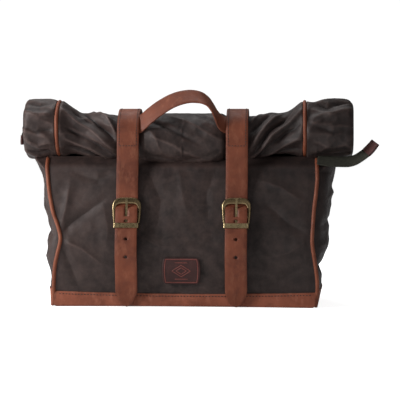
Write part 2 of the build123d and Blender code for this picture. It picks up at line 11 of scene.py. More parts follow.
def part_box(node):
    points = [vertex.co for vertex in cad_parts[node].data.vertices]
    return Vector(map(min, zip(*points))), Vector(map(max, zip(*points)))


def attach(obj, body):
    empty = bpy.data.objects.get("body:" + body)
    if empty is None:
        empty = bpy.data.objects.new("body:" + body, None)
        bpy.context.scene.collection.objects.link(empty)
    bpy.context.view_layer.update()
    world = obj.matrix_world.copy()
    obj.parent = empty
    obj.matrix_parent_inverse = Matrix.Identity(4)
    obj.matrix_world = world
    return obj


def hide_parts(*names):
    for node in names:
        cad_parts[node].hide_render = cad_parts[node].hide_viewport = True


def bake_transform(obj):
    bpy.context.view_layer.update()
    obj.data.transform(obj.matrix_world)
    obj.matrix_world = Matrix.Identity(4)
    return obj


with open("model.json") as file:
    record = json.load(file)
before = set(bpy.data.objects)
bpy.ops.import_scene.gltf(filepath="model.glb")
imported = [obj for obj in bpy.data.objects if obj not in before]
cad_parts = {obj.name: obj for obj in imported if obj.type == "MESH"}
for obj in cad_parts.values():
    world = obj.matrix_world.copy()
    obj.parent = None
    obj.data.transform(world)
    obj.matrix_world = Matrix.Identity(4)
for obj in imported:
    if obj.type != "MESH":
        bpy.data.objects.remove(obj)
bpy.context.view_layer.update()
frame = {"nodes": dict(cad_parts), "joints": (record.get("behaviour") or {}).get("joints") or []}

MM = 0.001


# ---- places read from the frame, in mm
def box_mm(node):
    """Gives a node's lowest and highest corners in millimetres."""
    low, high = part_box(node)
    return [v / MM for v in low], [v / MM for v in high]


hands = (("left", -1), ("right", 1))
back_low, back_high = box_mm("back_panel")
base_low, base_high = box_mm("leather_base")
roll_low, roll_high = box_mm("roll_top")
strap_low, strap_high = box_mm("right_strap")
patch_low, patch_high = box_mm("leather_patch")
facing_low, facing_high = box_mm("back_reinforcement")
tail_low = box_mm("right_strap_tail")[0]
rings = {side: box_mm(f"{hand}_roll_piping") for hand, side in hands}

seam_inset = 2.1  # from the back panel's sides in to the corner seams
gusset_rise = 6.0  # how far the sides stand above the mouth
roll_drop = 11.0  # from the middle of the ears down to the middle of the cinched roll
half_width = (back_high[0] - back_low[0]) / 2 - seam_inset
front_y = box_mm("front_panel")[0][1]  # fullest part of the front
back_y = back_high[1]
mouth_z = box_mm("left_gusset")[1][2] - gusset_rise
base_band = base_high[2]
gusset_band = box_mm("left_gusset_base")[1][2]
roll_y = (roll_low[1] + roll_high[1]) / 2
ear_z = (roll_low[2] + roll_high[2]) / 2
roll_z = ear_z - roll_drop
ring_x = {side: (low[0] + high[0]) / 2 for side, (low, high) in rings.items()}
strap_x = (strap_low[0] + strap_high[0]) / 2
strap_width = strap_high[0] - strap_low[0]


# ---- small helpers
def mix(a, b, t):
    return a + (b - a) * t


def ease(edge0, edge1, value):
    """Rises smoothly from 0 to 1 between two edges."""
    t = min(max((value - edge0) / (edge1 - edge0), 0), 1)
    return t * t * (3 - 2 * t)


def through(knots, at):
    """Gives a smooth curve through (place, value) knots."""
    if at <= knots[0][0]:
        return knots[0][1]
    if at >= knots[-1][0]:
        return knots[-1][1]
    i = next(i for i in range(1, len(knots)) if at <= knots[i][0])
    (x0, v0), (x1, v1) = knots[i - 1], knots[i]
    before = knots[i - 2] if i > 1 else knots[i - 1]
    after = knots[i + 1] if i + 1 < len(knots) else knots[i]
    slope0 = (v1 - before[1]) / (x1 - before[0])
    slope1 = (after[1] - v0) / (after[0] - x0)
    h, t = x1 - x0, (at - x0) / (x1 - x0)
    return ((2 * t**3 - 3 * t**2 + 1) * v0 + (t**3 - 2 * t**2 + t) * h * slope0
            + (3 * t**2 - 2 * t**3) * v1 + (t**3 - t**2) * h * slope1)


def measured(points, axes=(0, 1)):
    """Gives a line's length over some axes, and each coordinate as knots along it."""
    run = [0.0]
    for a, b in zip(points, points[1:]):
        run.append(run[-1] + dist([a[k] for k in axes], [b[k] for k in axes]))
    return run[-1], [list(zip(run, track)) for track in zip(*points)]


def sample(points, steps, axes=(0, 1)):
    """Samples a smooth line through points at even steps."""
    length, tracks = measured(points, axes)
    return [[through(track, length * i / steps) for track in tracks] for i in range(steps + 1)]


def directions(spots):
    """Gives the direction of a line at each of its vectors."""
    last = len(spots) - 1
    return [(spots[min(i + 1, last)] - spots[max(i - 1, 0)]).normalized() for i in range(last + 1)]


def rough(x, y, z, size, seed=0.0):
    """Gives soft noise of a feature size, from -1 to 1."""
    return noise.noise(Vector((x / size + seed, y / size - seed, z / size + 2 * seed)))


def wrinkle(x, y, z, size, seed=0.0):
    """Gives sharp-crested noise of a feature size, about -0.6 to 0.4."""
    return 0.4 - 1.9 * abs(rough(x, y, z, size, seed))


def crease(px, py, line, width, height):
    """Raises a ridge, or sinks a valley, along a line of points, fading at its ends."""
    best, where = 1e9, 0.0
    spans = len(line) - 1
    for i in range(spans):
        (x0, y0), (x1, y1) = line[i], line[i + 1]
        dx, dy = x1 - x0, y1 - y0
        t = min(max(((px - x0) * dx + (py - y0) * dy) / (dx * dx + dy * dy), 0), 1)
        d = hypot(px - x0 - t * dx, py - y0 - t * dy)
        if d < best:
            best, where = d, (i + t) / spans
    if best > 3 * width:
        return 0.0
    taper = min(1, 4 * where * (1 - where) + 0.25)
    return height * taper * (0.6 * exp(-((best / width) ** 2)) + 0.4 * exp(-2.2 * best / width))


def folds(px, py, table):
    """Adds up the creases of a table at a point."""
    return sum(crease(px, py, line, width, height) for line, width, height in table)


def creases(*rows, scale=1.0):
    """Reads creases from rows of their line's coordinates, then their width and height."""
    return [([(row[k], row[k + 1] * scale) for k in range(0, len(row) - 2, 2)], *row[-2:]) for row in rows]


def make_object(name, bm, material, body="root", smooth=True):
    """Turns a bmesh in millimetres into a piece that rides on a body."""
    bmesh.ops.transform(bm, matrix=Matrix.Scale(MM, 4), verts=bm.verts)
    mesh = bpy.data.meshes.new(name)
    bm.to_mesh(mesh)
    bm.free()
    piece = bpy.data.objects.new(name, mesh)
    bpy.context.scene.collection.objects.link(piece)
    for polygon in mesh.polygons:
        polygon.use_smooth = smooth
    mesh.materials.append(material)
    if body:
        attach(piece, body)
    return piece


def grid(columns, rows, shape, wrap=False, flip=False):
    """Makes a cloth of columns by rows, each corner placed by shape(u, v) -> (place, uv)."""
    bm = bmesh.new()
    bmesh.ops.create_grid(bm, x_segments=columns, y_segments=rows, size=0.5)
    layer = bm.loops.layers.uv.new("Cloth")
    spots = {}
    for vert in bm.verts:
        u, v = vert.co.x + 0.5, vert.co.y + 0.5
        place, flat = shape(u, v)
        spots[vert] = flat
        vert.co = place
    for face in bm.faces:
        for loop in face.loops:
            loop[layer].uv = spots[loop.vert]
    if wrap:
        bmesh.ops.remove_doubles(bm, verts=bm.verts, dist=0.01)
    if flip:
        bmesh.ops.reverse_faces(bm, faces=bm.faces)
    return bm


def thicken(piece, thickness):
    """Gives a sheet its thickness, inwards."""
    solidify = piece.modifiers.new("Thickness", "SOLIDIFY")
    solidify.thickness = thickness * MM
    solidify.offset = -1.0
    solidify.use_even_offset = True


def round_edges(piece, width):
    """Rounds the sharp edges of a piece."""
    bevel = piece.modifiers.new("Rounding", "BEVEL")
    bevel.width = width * MM
    bevel.segments = 2
    bevel.limit_method = "ANGLE"
    bevel.angle_limit = radians(35)


def tube(points, radius, sides=12, closed=False):
    """Sweeps a round section along points."""
    bm = bmesh.new()
    rings_made = []
    count = len(points)
    up = Vector((0.1, 0.3, 1)).normalized()
    for i, point in enumerate(points):
        ahead = Vector(points[(i + 1) % count] if closed else points[min(i + 1, count - 1)])
        behind = Vector(points[(i - 1) % count] if closed else points[max(i - 1, 0)])
        way = (ahead - behind).normalized()
        side = way.cross(up)
        side = (side if side.length > 0.1 else way.cross(Vector((1, 0, 0)))).normalized()
        up = side.cross(way).normalized()
        made = bmesh.ops.create_circle(bm, cap_ends=False, segments=sides, radius=radius)["verts"]
        matrix = Matrix((side, up, way)).transposed().to_4x4()
        matrix.translation = Vector(point)
        bmesh.ops.transform(bm, matrix=matrix, verts=made)
        rings_made.append(list({e for v in made for e in v.link_edges}))
    for a, b in zip(rings_made, rings_made[1:] + (rings_made[:1] if closed else [])):
        bmesh.ops.bridge_loops(bm, edges=a + b)
    if not closed:
        for edges in (rings_made[0], rings_made[-1]):
            bmesh.ops.edgeloop_fill(bm, edges=edges)
    bmesh.ops.recalc_face_normals(bm, faces=bm.faces)
    return bm


# ---- materials
def plug(tree, socket, value):
    """Feeds a socket from another socket, a number, a vector or a colour."""
    if isinstance(value, tuple):
        socket.default_value = (*value, 1) if socket.type == "RGBA" else value
    elif isinstance(value, (int, float)):
        socket.default_value = value
    else:
        tree.links.new(value, socket)


def add_node(tree, kind, setting=None, **fed):
    """Adds a node with one setting, and feeds its inputs by name, with _ for a space."""
    node = tree.nodes.new("ShaderNode" + kind)
    if setting:
        setattr(node, *setting)
    for label, value in fed.items():
        plug(tree, node.inputs[label.replace("_", " ")], value)
    return node


def use_group(tree, group, **fed):
    """Places a node group, feeds its inputs and gives its outputs."""
    return add_node(tree, "Group", ("node_tree", group), **fed).outputs


def new_group(name, inputs, outputs):
    """Starts a node group of number outputs, whose inputs are numbers, or vectors where None."""
    group = bpy.data.node_groups.new(name, "ShaderNodeTree")
    for label, value in inputs.items():
        kind = "NodeSocketVector" if value is None else "NodeSocketFloat"
        socket = group.interface.new_socket(name=label, in_out="INPUT", socket_type=kind)
        if value is not None:
            socket.default_value = value
    for label in outputs:
        group.interface.new_socket(name=label, in_out="OUTPUT", socket_type="NodeSocketFloat")
    return group, group.nodes.new("NodeGroupInput").outputs, group.nodes.new("NodeGroupOutput").inputs


def math_node(tree, operation, *values):
    """Adds a math node fed by sockets or numbers."""
    node = add_node(tree, "Math", ("operation", operation))
    for socket, value in zip(node.inputs, values):
        plug(tree, socket, value)
    return node.outputs[0]


def times(tree, a, b):
    return math_node(tree, "MULTIPLY", a, b)


def noise_node(tree, vector, scale, detail=3.0, rough_share=0.55, distortion=0.0):
    """Adds a noise texture and gives its factor."""
    return add_node(tree, "TexNoise", Vector=vector, Scale=scale, Detail=detail, Roughness=rough_share,
                    Distortion=distortion).outputs["Fac"]


def remap(tree, value, low, high, to_low=0.0, to_high=1.0):
    """Maps a range of a value onto another, clamped."""
    return add_node(tree, "MapRange", Value=value, From_Min=low, From_Max=high, To_Min=to_low,
                    To_Max=to_high).outputs["Result"]


def blend_colours(tree, factor, a, b):
    """Mixes two colours, each a socket or a value."""
    node = add_node(tree, "Mix", ("data_type", "RGBA"), Factor=factor)
    plug(tree, node.inputs[6], a)
    plug(tree, node.inputs[7], b)
    return node.outputs[2]


def layered(tree, base, *layers):
    """Lays colours over a base, each as (mask, amount, colour)."""
    for mask, amount, colour in layers:
        base = blend_colours(tree, times(tree, mask, amount), base, colour)
    return base


def weave_group():
    """Crossing threads on a cloth's own UV map, with slubs."""
    group, fed, made = new_group("Weave", {"Cloth": None, "Threads": 900.0}, ("Height", "Tone"))
    axes = add_node(group, "SeparateXYZ", Vector=fed["Cloth"]).outputs
    waves = [math_node(group, "ABSOLUTE", math_node(group, "SINE", times(group, axes[k], fed["Threads"])))
             for k in (0, 1)]
    slub = noise_node(group, fed["Cloth"], 260.0)
    height = times(group, math_node(group, "ADD", *waves), 0.5)
    plug(group, made["Height"], math_node(group, "ADD", height, times(group, slub, 0.6)))
    plug(group, made["Tone"], remap(group, slub, 0.35, 0.65))
    return group


def grain_group():
    """Leather grain: fine cells, and long faint scuffs."""
    group, fed, made = new_group("Grain", {"Place": None, "Scale": 900.0}, ("Height", "Scuff"))
    cells = add_node(group, "TexVoronoi", ("feature", "DISTANCE_TO_EDGE"), Vector=fed["Place"], Scale=fed["Scale"])
    edge = remap(group, cells.outputs["Distance"], 0.0, 0.12)
    soft = noise_node(group, fed["Place"], 420.0, 4.0)
    plug(group, made["Height"], math_node(group, "ADD", times(group, edge, 0.6), soft))
    stretch = add_node(group, "Mapping", Vector=fed["Place"], Scale=(1.0, 1.0, 0.42), Rotation=(0.0, 0.35, 0.0))
    scuff = noise_node(group, stretch.outputs["Vector"], 130.0, 5.0, 0.65)
    plug(group, made["Scuff"], remap(group, scuff, 0.52, 0.72))
    return group


def mottle_group():
    """Large and middling patches of wax or oil, as two masks."""
    group, fed, made = new_group("Mottle", {"Place": None, "Scale": 1.0}, ("Large", "Small"))
    place = add_node(group, "VectorMath", ("operation", "SCALE"), Vector=fed["Place"], Scale=fed["Scale"]).outputs[0]
    plug(group, made["Large"], remap(group, noise_node(group, place, 11.0, 4.0, 0.6, 0.4), 0.32, 0.68))
    plug(group, made["Small"], remap(group, noise_node(group, place, 55.0, 5.0, 0.6, 0.2), 0.35, 0.65))
    return group


def wear_group():
    """Masks of rubbed edges and of hollows, from how proud the surface stands."""
    group, fed, made = new_group(
        "Edge wear", {"Place": None, "Pointiness": 0.5, "Low": 0.5, "High": 0.56}, ("Worn", "Hollow"))
    proud = remap(group, fed["Pointiness"], fed["Low"], fed["High"])
    breakup = remap(group, noise_node(group, fed["Place"], 160.0, 4.0), 0.3, 0.6, 0.45, 1.0)
    plug(group, made["Worn"], times(group, proud, breakup))
    plug(group, made["Hollow"], remap(group, fed["Pointiness"], 0.495, 0.44))
    return group


WEAVE, GRAIN, MOTTLE, WEAR = weave_group(), grain_group(), mottle_group(), wear_group()


def new_material(name, spots):
    """Starts a material and gives it with its tree, place coordinates and a mottle of a scale."""
    material = bpy.data.materials.new(name)
    material.use_nodes = True
    tree = material.node_tree
    place = add_node(tree, "TexCoord").outputs["Object"]
    return material, tree, place, use_group(tree, MOTTLE, Place=place, Scale=spots)


def weave(tree, threads):
    """Lays the weave on a cloth's own UV map."""
    cloth = add_node(tree, "UVMap", ("uv_map", "Cloth")).outputs["UV"]
    return use_group(tree, WEAVE, Cloth=cloth, Threads=threads)


def wear(tree, place, low, high):
    """Gives the masks of rubbed edges and hollows, with the pointiness at which rubbing starts and is full."""
    point = add_node(tree, "NewGeometry").outputs["Pointiness"]
    return use_group(tree, WEAR, Place=place, Pointiness=point, Low=low, High=high)


def darker(colour, share):
    return tuple(c * share for c in colour)


def dress(tree, height, strength, distance, **fed):
    """Feeds the shader's inputs by name, and its normal from a height."""
    shader = tree.nodes["Principled BSDF"]
    bump = add_node(tree, "Bump", Strength=strength, Distance=distance, Height=height)
    fed["Normal"] = bump.outputs["Normal"]
    for label, value in fed.items():
        plug(tree, shader.inputs[label.replace("_", " ")], value)


def canvas_material(name, dark, light, worn):
    """Waxed canvas: woven, mottled with wax, paler where folds are rubbed, with painted shade in its hollows and
    painted sheen and shade across its width.
    """
    material, tree, place, mottle = new_material(name, 1.0)
    threads, masks, shade = weave(tree, 3600.0), wear(tree, place, 0.503, 0.53), darker(dark, 0.45)
    # Painted shade: the hollows of the folds are darkened with the shade colour.
    base = layered(tree, blend_colours(tree, mottle["Large"], dark, light), (mottle["Small"], 0.30, worn),
                   (masks["Worn"], 0.55, worn), (masks["Hollow"], 0.6, shade), (threads["Tone"], 0.18, shade))
    # Painted sheen lightens the left half under the roll towards the worn colour, and painted shade darkens the right
    # half, standing in for light falling from the left.
    spot = add_node(tree, "SeparateXYZ", Vector=place).outputs
    painted_sheen_height = remap(tree, spot["Z"], 0.18, 0.21, 1, 0)
    base = blend_colours(tree, times(tree, remap(tree, spot["X"], -0.03, -0.14, 0, 0.10), painted_sheen_height), base, worn)
    # Painted shade: the right half is darkened towards the shade colour.
    base = blend_colours(tree, remap(tree, spot["X"], 0.03, 0.14, 0, 0.34), base, shade)
    dress(tree, threads["Height"], 0.35, 0.0004, Base_Color=base, Specular_IOR_Level=0.30, Sheen_Weight=0.02,
          Sheen_Roughness=0.5, Roughness=remap(tree, mottle["Small"], 0, 1, 0.62, 0.46))
    return material


def leather_material(name, dark, light, worn):
    """Pull-up leather: grain, oily patches, rubbed edges and faint scuffs, with painted shade in its hollows."""
    material, tree, place, mottle = new_material(name, 2.2)
    grain = use_group(tree, GRAIN, Place=place, Scale=900.0)
    masks, edge_tone_and_hollow_shade = wear(tree, place, 0.51, 0.60), darker(dark, 0.55)
    # Rubbed edges take the darker edge tone, and the hollows take the same colour as painted shade.
    base = layered(tree, blend_colours(tree, mottle["Large"], dark, light), (mottle["Small"], 0.35, light),
                   (grain["Scuff"], 0.28, worn), (masks["Worn"], 0.65, edge_tone_and_hollow_shade), (masks["Hollow"], 0.5, edge_tone_and_hollow_shade))
    dress(tree, grain["Height"], 0.28, 0.0005, Base_Color=base, Specular_IOR_Level=0.28,
          Roughness=remap(tree, mottle["Small"], 0, 1, 0.46, 0.64))
    return material


def brass_material(name):
    """Antique brass: dark in its hollows, bright where it is rubbed."""
    material, tree, place, mottle = new_material(name, 7.0)
    masks = wear(tree, place, 0.50, 0.58)
    base = layered(tree, blend_colours(tree, mottle["Large"], (0.13, 0.092, 0.050), (0.24, 0.17, 0.088)),
                   (mottle["Small"], 0.4, (0.075, 0.052, 0.030)), (masks["Worn"], 0.6, (0.54, 0.42, 0.23)),
                   (masks["Hollow"], 0.7, (0.10, 0.08, 0.055)))
    dress(tree, noise_node(tree, place, 1400.0), 0.12, 0.0003, Base_Color=base, Metallic=1.0,
          Roughness=remap(tree, mottle["Small"], 0, 1, 0.24, 0.38))
    return material


def webbing_material(name):
    """Ribbed cotton webbing on its own UV map."""
    material, tree, place, mottle = new_material(name, 5.0)
    threads = weave(tree, 2400.0)
    base = layered(tree, blend_colours(tree, mottle["Small"], (0.010, 0.0095, 0.0065), (0.030, 0.029, 0.021)),
                   (threads["Height"], 0.35, (0.055, 0.053, 0.040)))
    dress(tree, threads["Height"], 0.6, 0.0006, Base_Color=base, Roughness=0.85, Specular_IOR_Level=0.25)
    return material


def thread_material(name, colour):
    """Waxed sewing thread with a twist."""
    material, tree, place, _ = new_material(name, 1.0)
    twist = noise_node(tree, place, 2500.0, 2.0)
    dress(tree, twist, 0.3, 0.0002, Base_Color=blend_colours(tree, twist, darker(colour, 0.5), colour), Roughness=0.6)
    return material


def board_material(name):
    """Stiffener board and plain lining: matte, slightly mottled."""
    material, tree, place, mottle = new_material(name, 4.0)
    dress(tree, mottle["Small"], 0.2, 0.0004, Roughness=0.8,
          Base_Color=blend_colours(tree, mottle["Small"], (0.05, 0.045, 0.04), (0.09, 0.08, 0.07)))
    return material


canvas = canvas_material("Waxed canvas", (0.0065, 0.0025, 0.0021), (0.0225, 0.0118, 0.0100), (0.100, 0.062, 0.053))
strap_leather, base_leather, piping_leather, patch_leather, tip_leather, burnish = (
    leather_material(name, dark, light, worn) for name, dark, light, worn in (
        ("Strap leather", (0.080, 0.0175, 0.0070), (0.175, 0.0460, 0.0205), (0.34, 0.130, 0.070)),
        ("Base leather", (0.135, 0.0350, 0.0165), (0.260, 0.0760, 0.0400), (0.42, 0.170, 0.105)),
        ("Piping leather", (0.135, 0.034, 0.0150), (0.235, 0.068, 0.032), (0.36, 0.140, 0.080)),
        ("Patch leather", (0.022, 0.0070, 0.0060), (0.042, 0.0135, 0.0120), (0.085, 0.030, 0.026)),
        ("Tip leather", (0.040, 0.014, 0.012), (0.080, 0.026, 0.023), (0.15, 0.055, 0.047)),
        ("Burnished mark", (0.150, 0.038, 0.030), (0.215, 0.058, 0.048), (0.30, 0.10, 0.085))))
brass = brass_material("Antique brass")
webbing = webbing_material("Webbing")
strap_thread = thread_material("Strap thread", (0.034, 0.0125, 0.0080))
board = board_material("Board")


# ---- body of the bag
# Outlines seen from the front, as (share of the mouth's height, offset from the half width).
front_edge = {-1: [(0, -4), (0.27, -7), (0.38, -11.5), (0.475, -15.5), (0.55, -12), (0.675, -3), (0.89, 5), (1.03, 8)],
              1: [(0, 2), (0.14, 4), (0.27, 2), (0.44, -3), (0.55, -2.5), (0.675, -1), (0.89, 3.5), (1.03, 3)]}
side_edge = {-1: [(0, 4), (0.14, 6), (0.25, 7), (0.36, 11), (0.48, 13.5), (0.56, 12), (0.625, 10.5), (0.70, 13.5),
                  (0.78, 18), (0.88, 20), (0.96, 25), (1.04, 33)],
             1: [(0, 6), (0.14, 12), (0.22, 12), (0.35, 15), (0.42, 18.5), (0.64, 24.5), (0.74, 25), (0.88, 29),
                 (1.04, 33)]}
back_edge = [(0, -2), (0.27, 0), (0.49, 1), (0.675, 3), (0.89, 5), (1.03, 5)]
front_side = [(0, -70), (19, -70.5), (30, -73), (84, front_y), (125, -69), (160, -61.5), (180, -55.5), (190, -51.5),
              (198, -47.5), (205, -38), (212, -27)]
back_side = [(0, back_y), (140, back_y), (172, 66), (190, 60), (214, 44)]


def edge_x(side, z):
    """Gives the x of a front seam at a height."""
    return side * (half_width + through(front_edge[side], z / mouth_z))


def bulge_x(side, z):
    """Gives the x of the fullest part of a side at a height."""
    return side * (half_width + through(side_edge[side], z / mouth_z))


def back_x(side, z):
    """Gives the x of a back seam at a height."""
    return side * (half_width + through(back_edge, z / mouth_z))


# Creases of the front, as lines of (x, z), with a width and a height out of the cloth.
front_folds = creases(
    (-174, 101, -150, 122, -108, 152, 6, -3.4), (-174, 97, -140, 82, -112, 60, 6, 2.6),
    (-172, 92, -158, 62, -146, 30, 7, -2.6), (-174, 104, -164, 138, -160, 172, 7, 2.4),
    (-112, 148, -104, 110, -106, 84, 9, 1.4), (-150, 186, -120, 178, -98, 188, 6, -2.6),
    (176, 104, 150, 118, 112, 150, 8, -2.2), (176, 96, 150, 78, 120, 70, 8, 1.8),
    (176, 60, 150, 48, 128, 34, 7, -1.8), (168, 150, 140, 168, 110, 178, 7, 2.2),
    (-52, 196, -30, 150, -34, 118, 9, -1.6), (-6, 196, 0, 160, 8, 128, 10, 1.4), (48, 196, 34, 158, 38, 120, 9, -1.5),
    (-58, 100, -30, 86, 4, 84, 8, 1.2), (56, 104, 34, 90, 12, 92, 8, -1), (-130, 40, -60, 28, 20, 30, 8, -1.2),
    (40, 30, 90, 40, 150, 26, 8, -1.2),
)
back_folds = creases(
    (-172, 100, -156, 140, -150, 180, 9, 1.6), (172, 100, 156, 140, 150, 180, 9, 1.6),
    (-60, 188, -20, 168, 40, 190, 9, -1.4), (-160, 50, -148, 90, -160, 120, 8, -1),
    (150, 40, 160, 90, 148, 130, 8, -1),
)


def press(x, z):
    """Gives how hard the straps and buckles hold the cloth down, from 0 to 1."""
    return max(exp(-(((x - s * strap_x) / 24) ** 2)) for s in (-1, 1)) * ease(20, 60, z)


sheet = 1.8  # thickness of the canvas
under_edge = 2.2  # height at which the front and back sheets start inside the base
above_mouth = 9.0  # how far the front runs on above the mouth, under the roll


def front_at(u, v):
    """Places a point of the front, across and up from its foot."""
    z = mix(under_edge, mouth_z + above_mouth, v)
    x = mix(edge_x(-1, z), edge_x(1, z), u)
    y = through(front_side, z)
    fade = ease(0, 0.035, u) * ease(1, 0.965, u)
    depth = folds(x, z, front_folds) * ease(14, 34, z)
    depth += 1.6 * rough(x, 0, z, 70, 3.1) + 0.45 * wrinkle(x, 0, z * 1.4, 34, 7.7) + 0.3 * rough(x, 0, z, 9, 1.7)
    sag = 2.0 * ease(40, 110, z) * ease(205, 150, z) * exp(-((x / 60) ** 2))
    free = (1 - 0.7 * press(x, z)) * ease(mouth_z + above_mouth, mouth_z - 12, z)
    y -= fade * ((depth - 0.6) * free - sag * 0.5) * 0.9
    y += 0.9 * (1 - fade)
    return (x, y + 0.4, z), (x * MM, z * MM)


front_canvas = make_object("front_canvas", grid(290, 170, front_at), canvas)
thicken(front_canvas, sheet)
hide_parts("front_panel")

# The back runs up to its shoulder and on as a roof to the roll.
roof_line = [(11, 256), (22, 241), (42, 212), (60, 190)]  # (y, z) down from the roll
roof_end, roof_share = 250.0, 0.93  # height by which the roof has narrowed, and how much of its width is left
back_length, back_tracks = measured(
    [(back_y, under_edge), (back_y, 60), (back_y, 140), (67, 170)] + roof_line[::-1])


def roof_width(z):
    """Gives the share of its width that the back keeps at a height."""
    return mix(1, roof_share, ease(mouth_z, roof_end, z))


def back_at(u, v):
    """Places a point of the back, across and up to the roll."""
    y, z = (through(track, v * back_length) for track in back_tracks)
    x = mix(back_x(-1, min(z, mouth_z)), back_x(1, min(z, mouth_z)), u)
    x *= roof_width(z)
    fade = ease(0, 0.03, u) * ease(1, 0.97, u)
    depth = folds(x, z, back_folds) + 1.2 * wrinkle(x, 9, z, 60, 5.2) + 0.5 * wrinkle(x, 9, z, 24, 2.4)
    depth *= fade * mix(0.35, 1, ease(130, 150, z)) * mix(1, 0.45, press(x, z))
    roof = ease(186, 200, z)
    y -= 0.9 * (1 - fade) - min(depth, 0.5) * (1 - roof) * 0.9 - roof * depth * 0.6
    return (x, y - 0.4, z + roof * depth * 0.6), (x * MM, (z + (72 - y)) * MM)


back_canvas = make_object("back_canvas", grid(240, 170, back_at, flip=True), canvas)
thicken(back_canvas, sheet)
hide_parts("back_panel")

# Creases of the sides, as lines of (place from the front to the back, z).
side_depth = 140.0
side_folds = {
    -1: creases(
        (7, 100, 49, 108, 119, 120, 9, -9), (14, 130, 70, 150, 126, 140, 9, 4), (14, 76, 70, 62, 119, 70, 9, 4.5),
        (35, 180, 70, 150, 84, 110, 9, -4), (14, 40, 70, 46, 126, 38, 8, -3.5),
    ),
    1: creases(
        (7, 62, 56, 54, 126, 60, 8, -7), (7, 112, 63, 122, 126, 112, 9, -4), (14, 88, 70, 86, 126, 90, 10, 4),
        (21, 150, 70, 160, 126, 150, 10, 3.5), (42, 190, 70, 165, 84, 130, 9, -3.5),
    ),
}
shoulder_z = 190.0  # above this the sides tuck in under the ears and the roof
seam_in = 3.2  # from the front's and back's faces in to the sides' seams
tucked_x = 178.0  # half width of the sides where they meet the ears


def side_top(y):
    """Gives how high a side panel reaches at a depth: to its ear, or to the roof behind it."""
    under = max(40.0**2 - (y - roll_y) ** 2, 0.0) ** 0.5
    return min(ear_z - under + 5, through(roof_line, y) - 1.0, 238.0 if y > roll_y else 216.0)


def side_at(side, u, v, low, high, inset=0.0):
    """Places a point of a side panel, from the front seam to the back seam."""
    turn = pi * u
    share = 0.5 - 0.5 * cos(turn)
    settled = mix(through(front_side, shoulder_z) + seam_in, through(back_side, shoulder_z) - seam_in, share)
    z = mix(low, side_top(settled) if high is None else high, v)
    level = min(z, mouth_z + above_mouth)
    front = through(front_side, z) + seam_in
    back = through(back_side, min(z, shoulder_z)) - seam_in
    swell = sin(turn) ** 0.75 if 0 < u < 1 else 0.0
    x = mix(mix(edge_x(side, level), back_x(side, level), u), bulge_x(side, level), swell)
    x = mix(x, side * tucked_x, ease(205, 238, z))
    meets = ease(0.8, 1, v) * ease(0, 14, settled) if high is None else 0.0
    x = mix(x, back_x(side, min(z, mouth_z)) * roof_width(z), meets)
    y = mix(front, back, share) if z < shoulder_z else max(settled, front)
    depth = folds(u * side_depth, z, side_folds[side])
    depth += 2.4 * wrinkle(side * 50, y, z, 46, 4.4) + 1.2 * wrinkle(side * 50, y, z * 1.3, 22, 8.8)
    depth *= swell * ease(gusset_band - 6, gusset_band + 26, z) * (1 - meets)
    return (x + side * (min(depth, 3.5) - inset), y, z), (u * side_depth * MM, z * MM)


for hand, side in hands:
    cloth_side = make_object(f"{hand}_side_canvas", grid(
        110, 160, lambda u, v: side_at(side, u, v, gusset_band - 3, None), flip=side < 0), canvas)
    thicken(cloth_side, sheet)
    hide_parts(f"{hand}_gusset")

    foot = make_object(f"{hand}_side_leather", grid(
        90, 24, lambda u, v: side_at(side, u, v, 0.3, gusset_band, -1.4 - 0.5 * ease(0.9, 1, v)),
        flip=side < 0), base_leather)
    thicken(foot, 2.4)
    round_edges(foot, 0.7)
    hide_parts(f"{hand}_gusset_base")


# ---- leather base
def base_section():
    """Lists the base's outside as (y, z), up the front, under, and up the back."""
    radius = 3.2
    front, back = base_low[1] + 0.3, back_y + 2.4
    run = [(front + 1.6, base_band), (front + 0.2, base_band * 0.55), (front, radius + 1)]
    run += [(front + radius * (1 - cos(t)), radius * (1 - sin(t)) + 0.02) for t in (0.4, 0.8, 1.2, pi / 2)]
    run += [(mix(front + radius, back - radius, k / 8), 0.02) for k in range(1, 8)]
    run += [(back - radius * (1 - sin(t)), radius * (1 - cos(t)) + 0.02) for t in (0, 0.4, 0.8, 1.2)]
    return run + [(back, radius + 1), (back, base_band * 0.55), (back, base_band)]


base_run = base_section()


def base_at(u, v):
    """Places a point of the base, across and round its section."""
    place = v * (len(base_run) - 1)
    i = min(int(place), len(base_run) - 2)
    y, z = (mix(base_run[i][k], base_run[i + 1][k], place - i) for k in (0, 1))
    near = ease(0, -40, y)
    share = 2 * u - 1
    rise = near * (3.2 * abs(share) ** 2.2) * ease(4, base_band, z)
    left, right = mix(back_x(-1, 4), edge_x(-1, z), near), mix(back_x(1, 4), edge_x(1, z), near)
    x = mix(left, right, u)
    under = 1 - ease(0, 3, z)
    x = mix(x, x * 0.985, under)
    rise += 0.9 * (1 - abs(share) ** 2) * (1 - ease(0, 6, z)) * near
    rise += 0.3 * rough(x, 0, 0, 26, 2.2) * ease(12, 19, z)
    wave = 0.35 * rough(x, y, z, 30, 6.1) * ease(2, 8, z)
    return (x, y - near * wave, max(z + rise, 0.02)), (x * MM, (y + z) * MM)


base = make_object("base", grid(180, 64, base_at, flip=True), base_leather)
thicken(base, 2.2)
round_edges(base, 0.6)
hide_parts("leather_base")


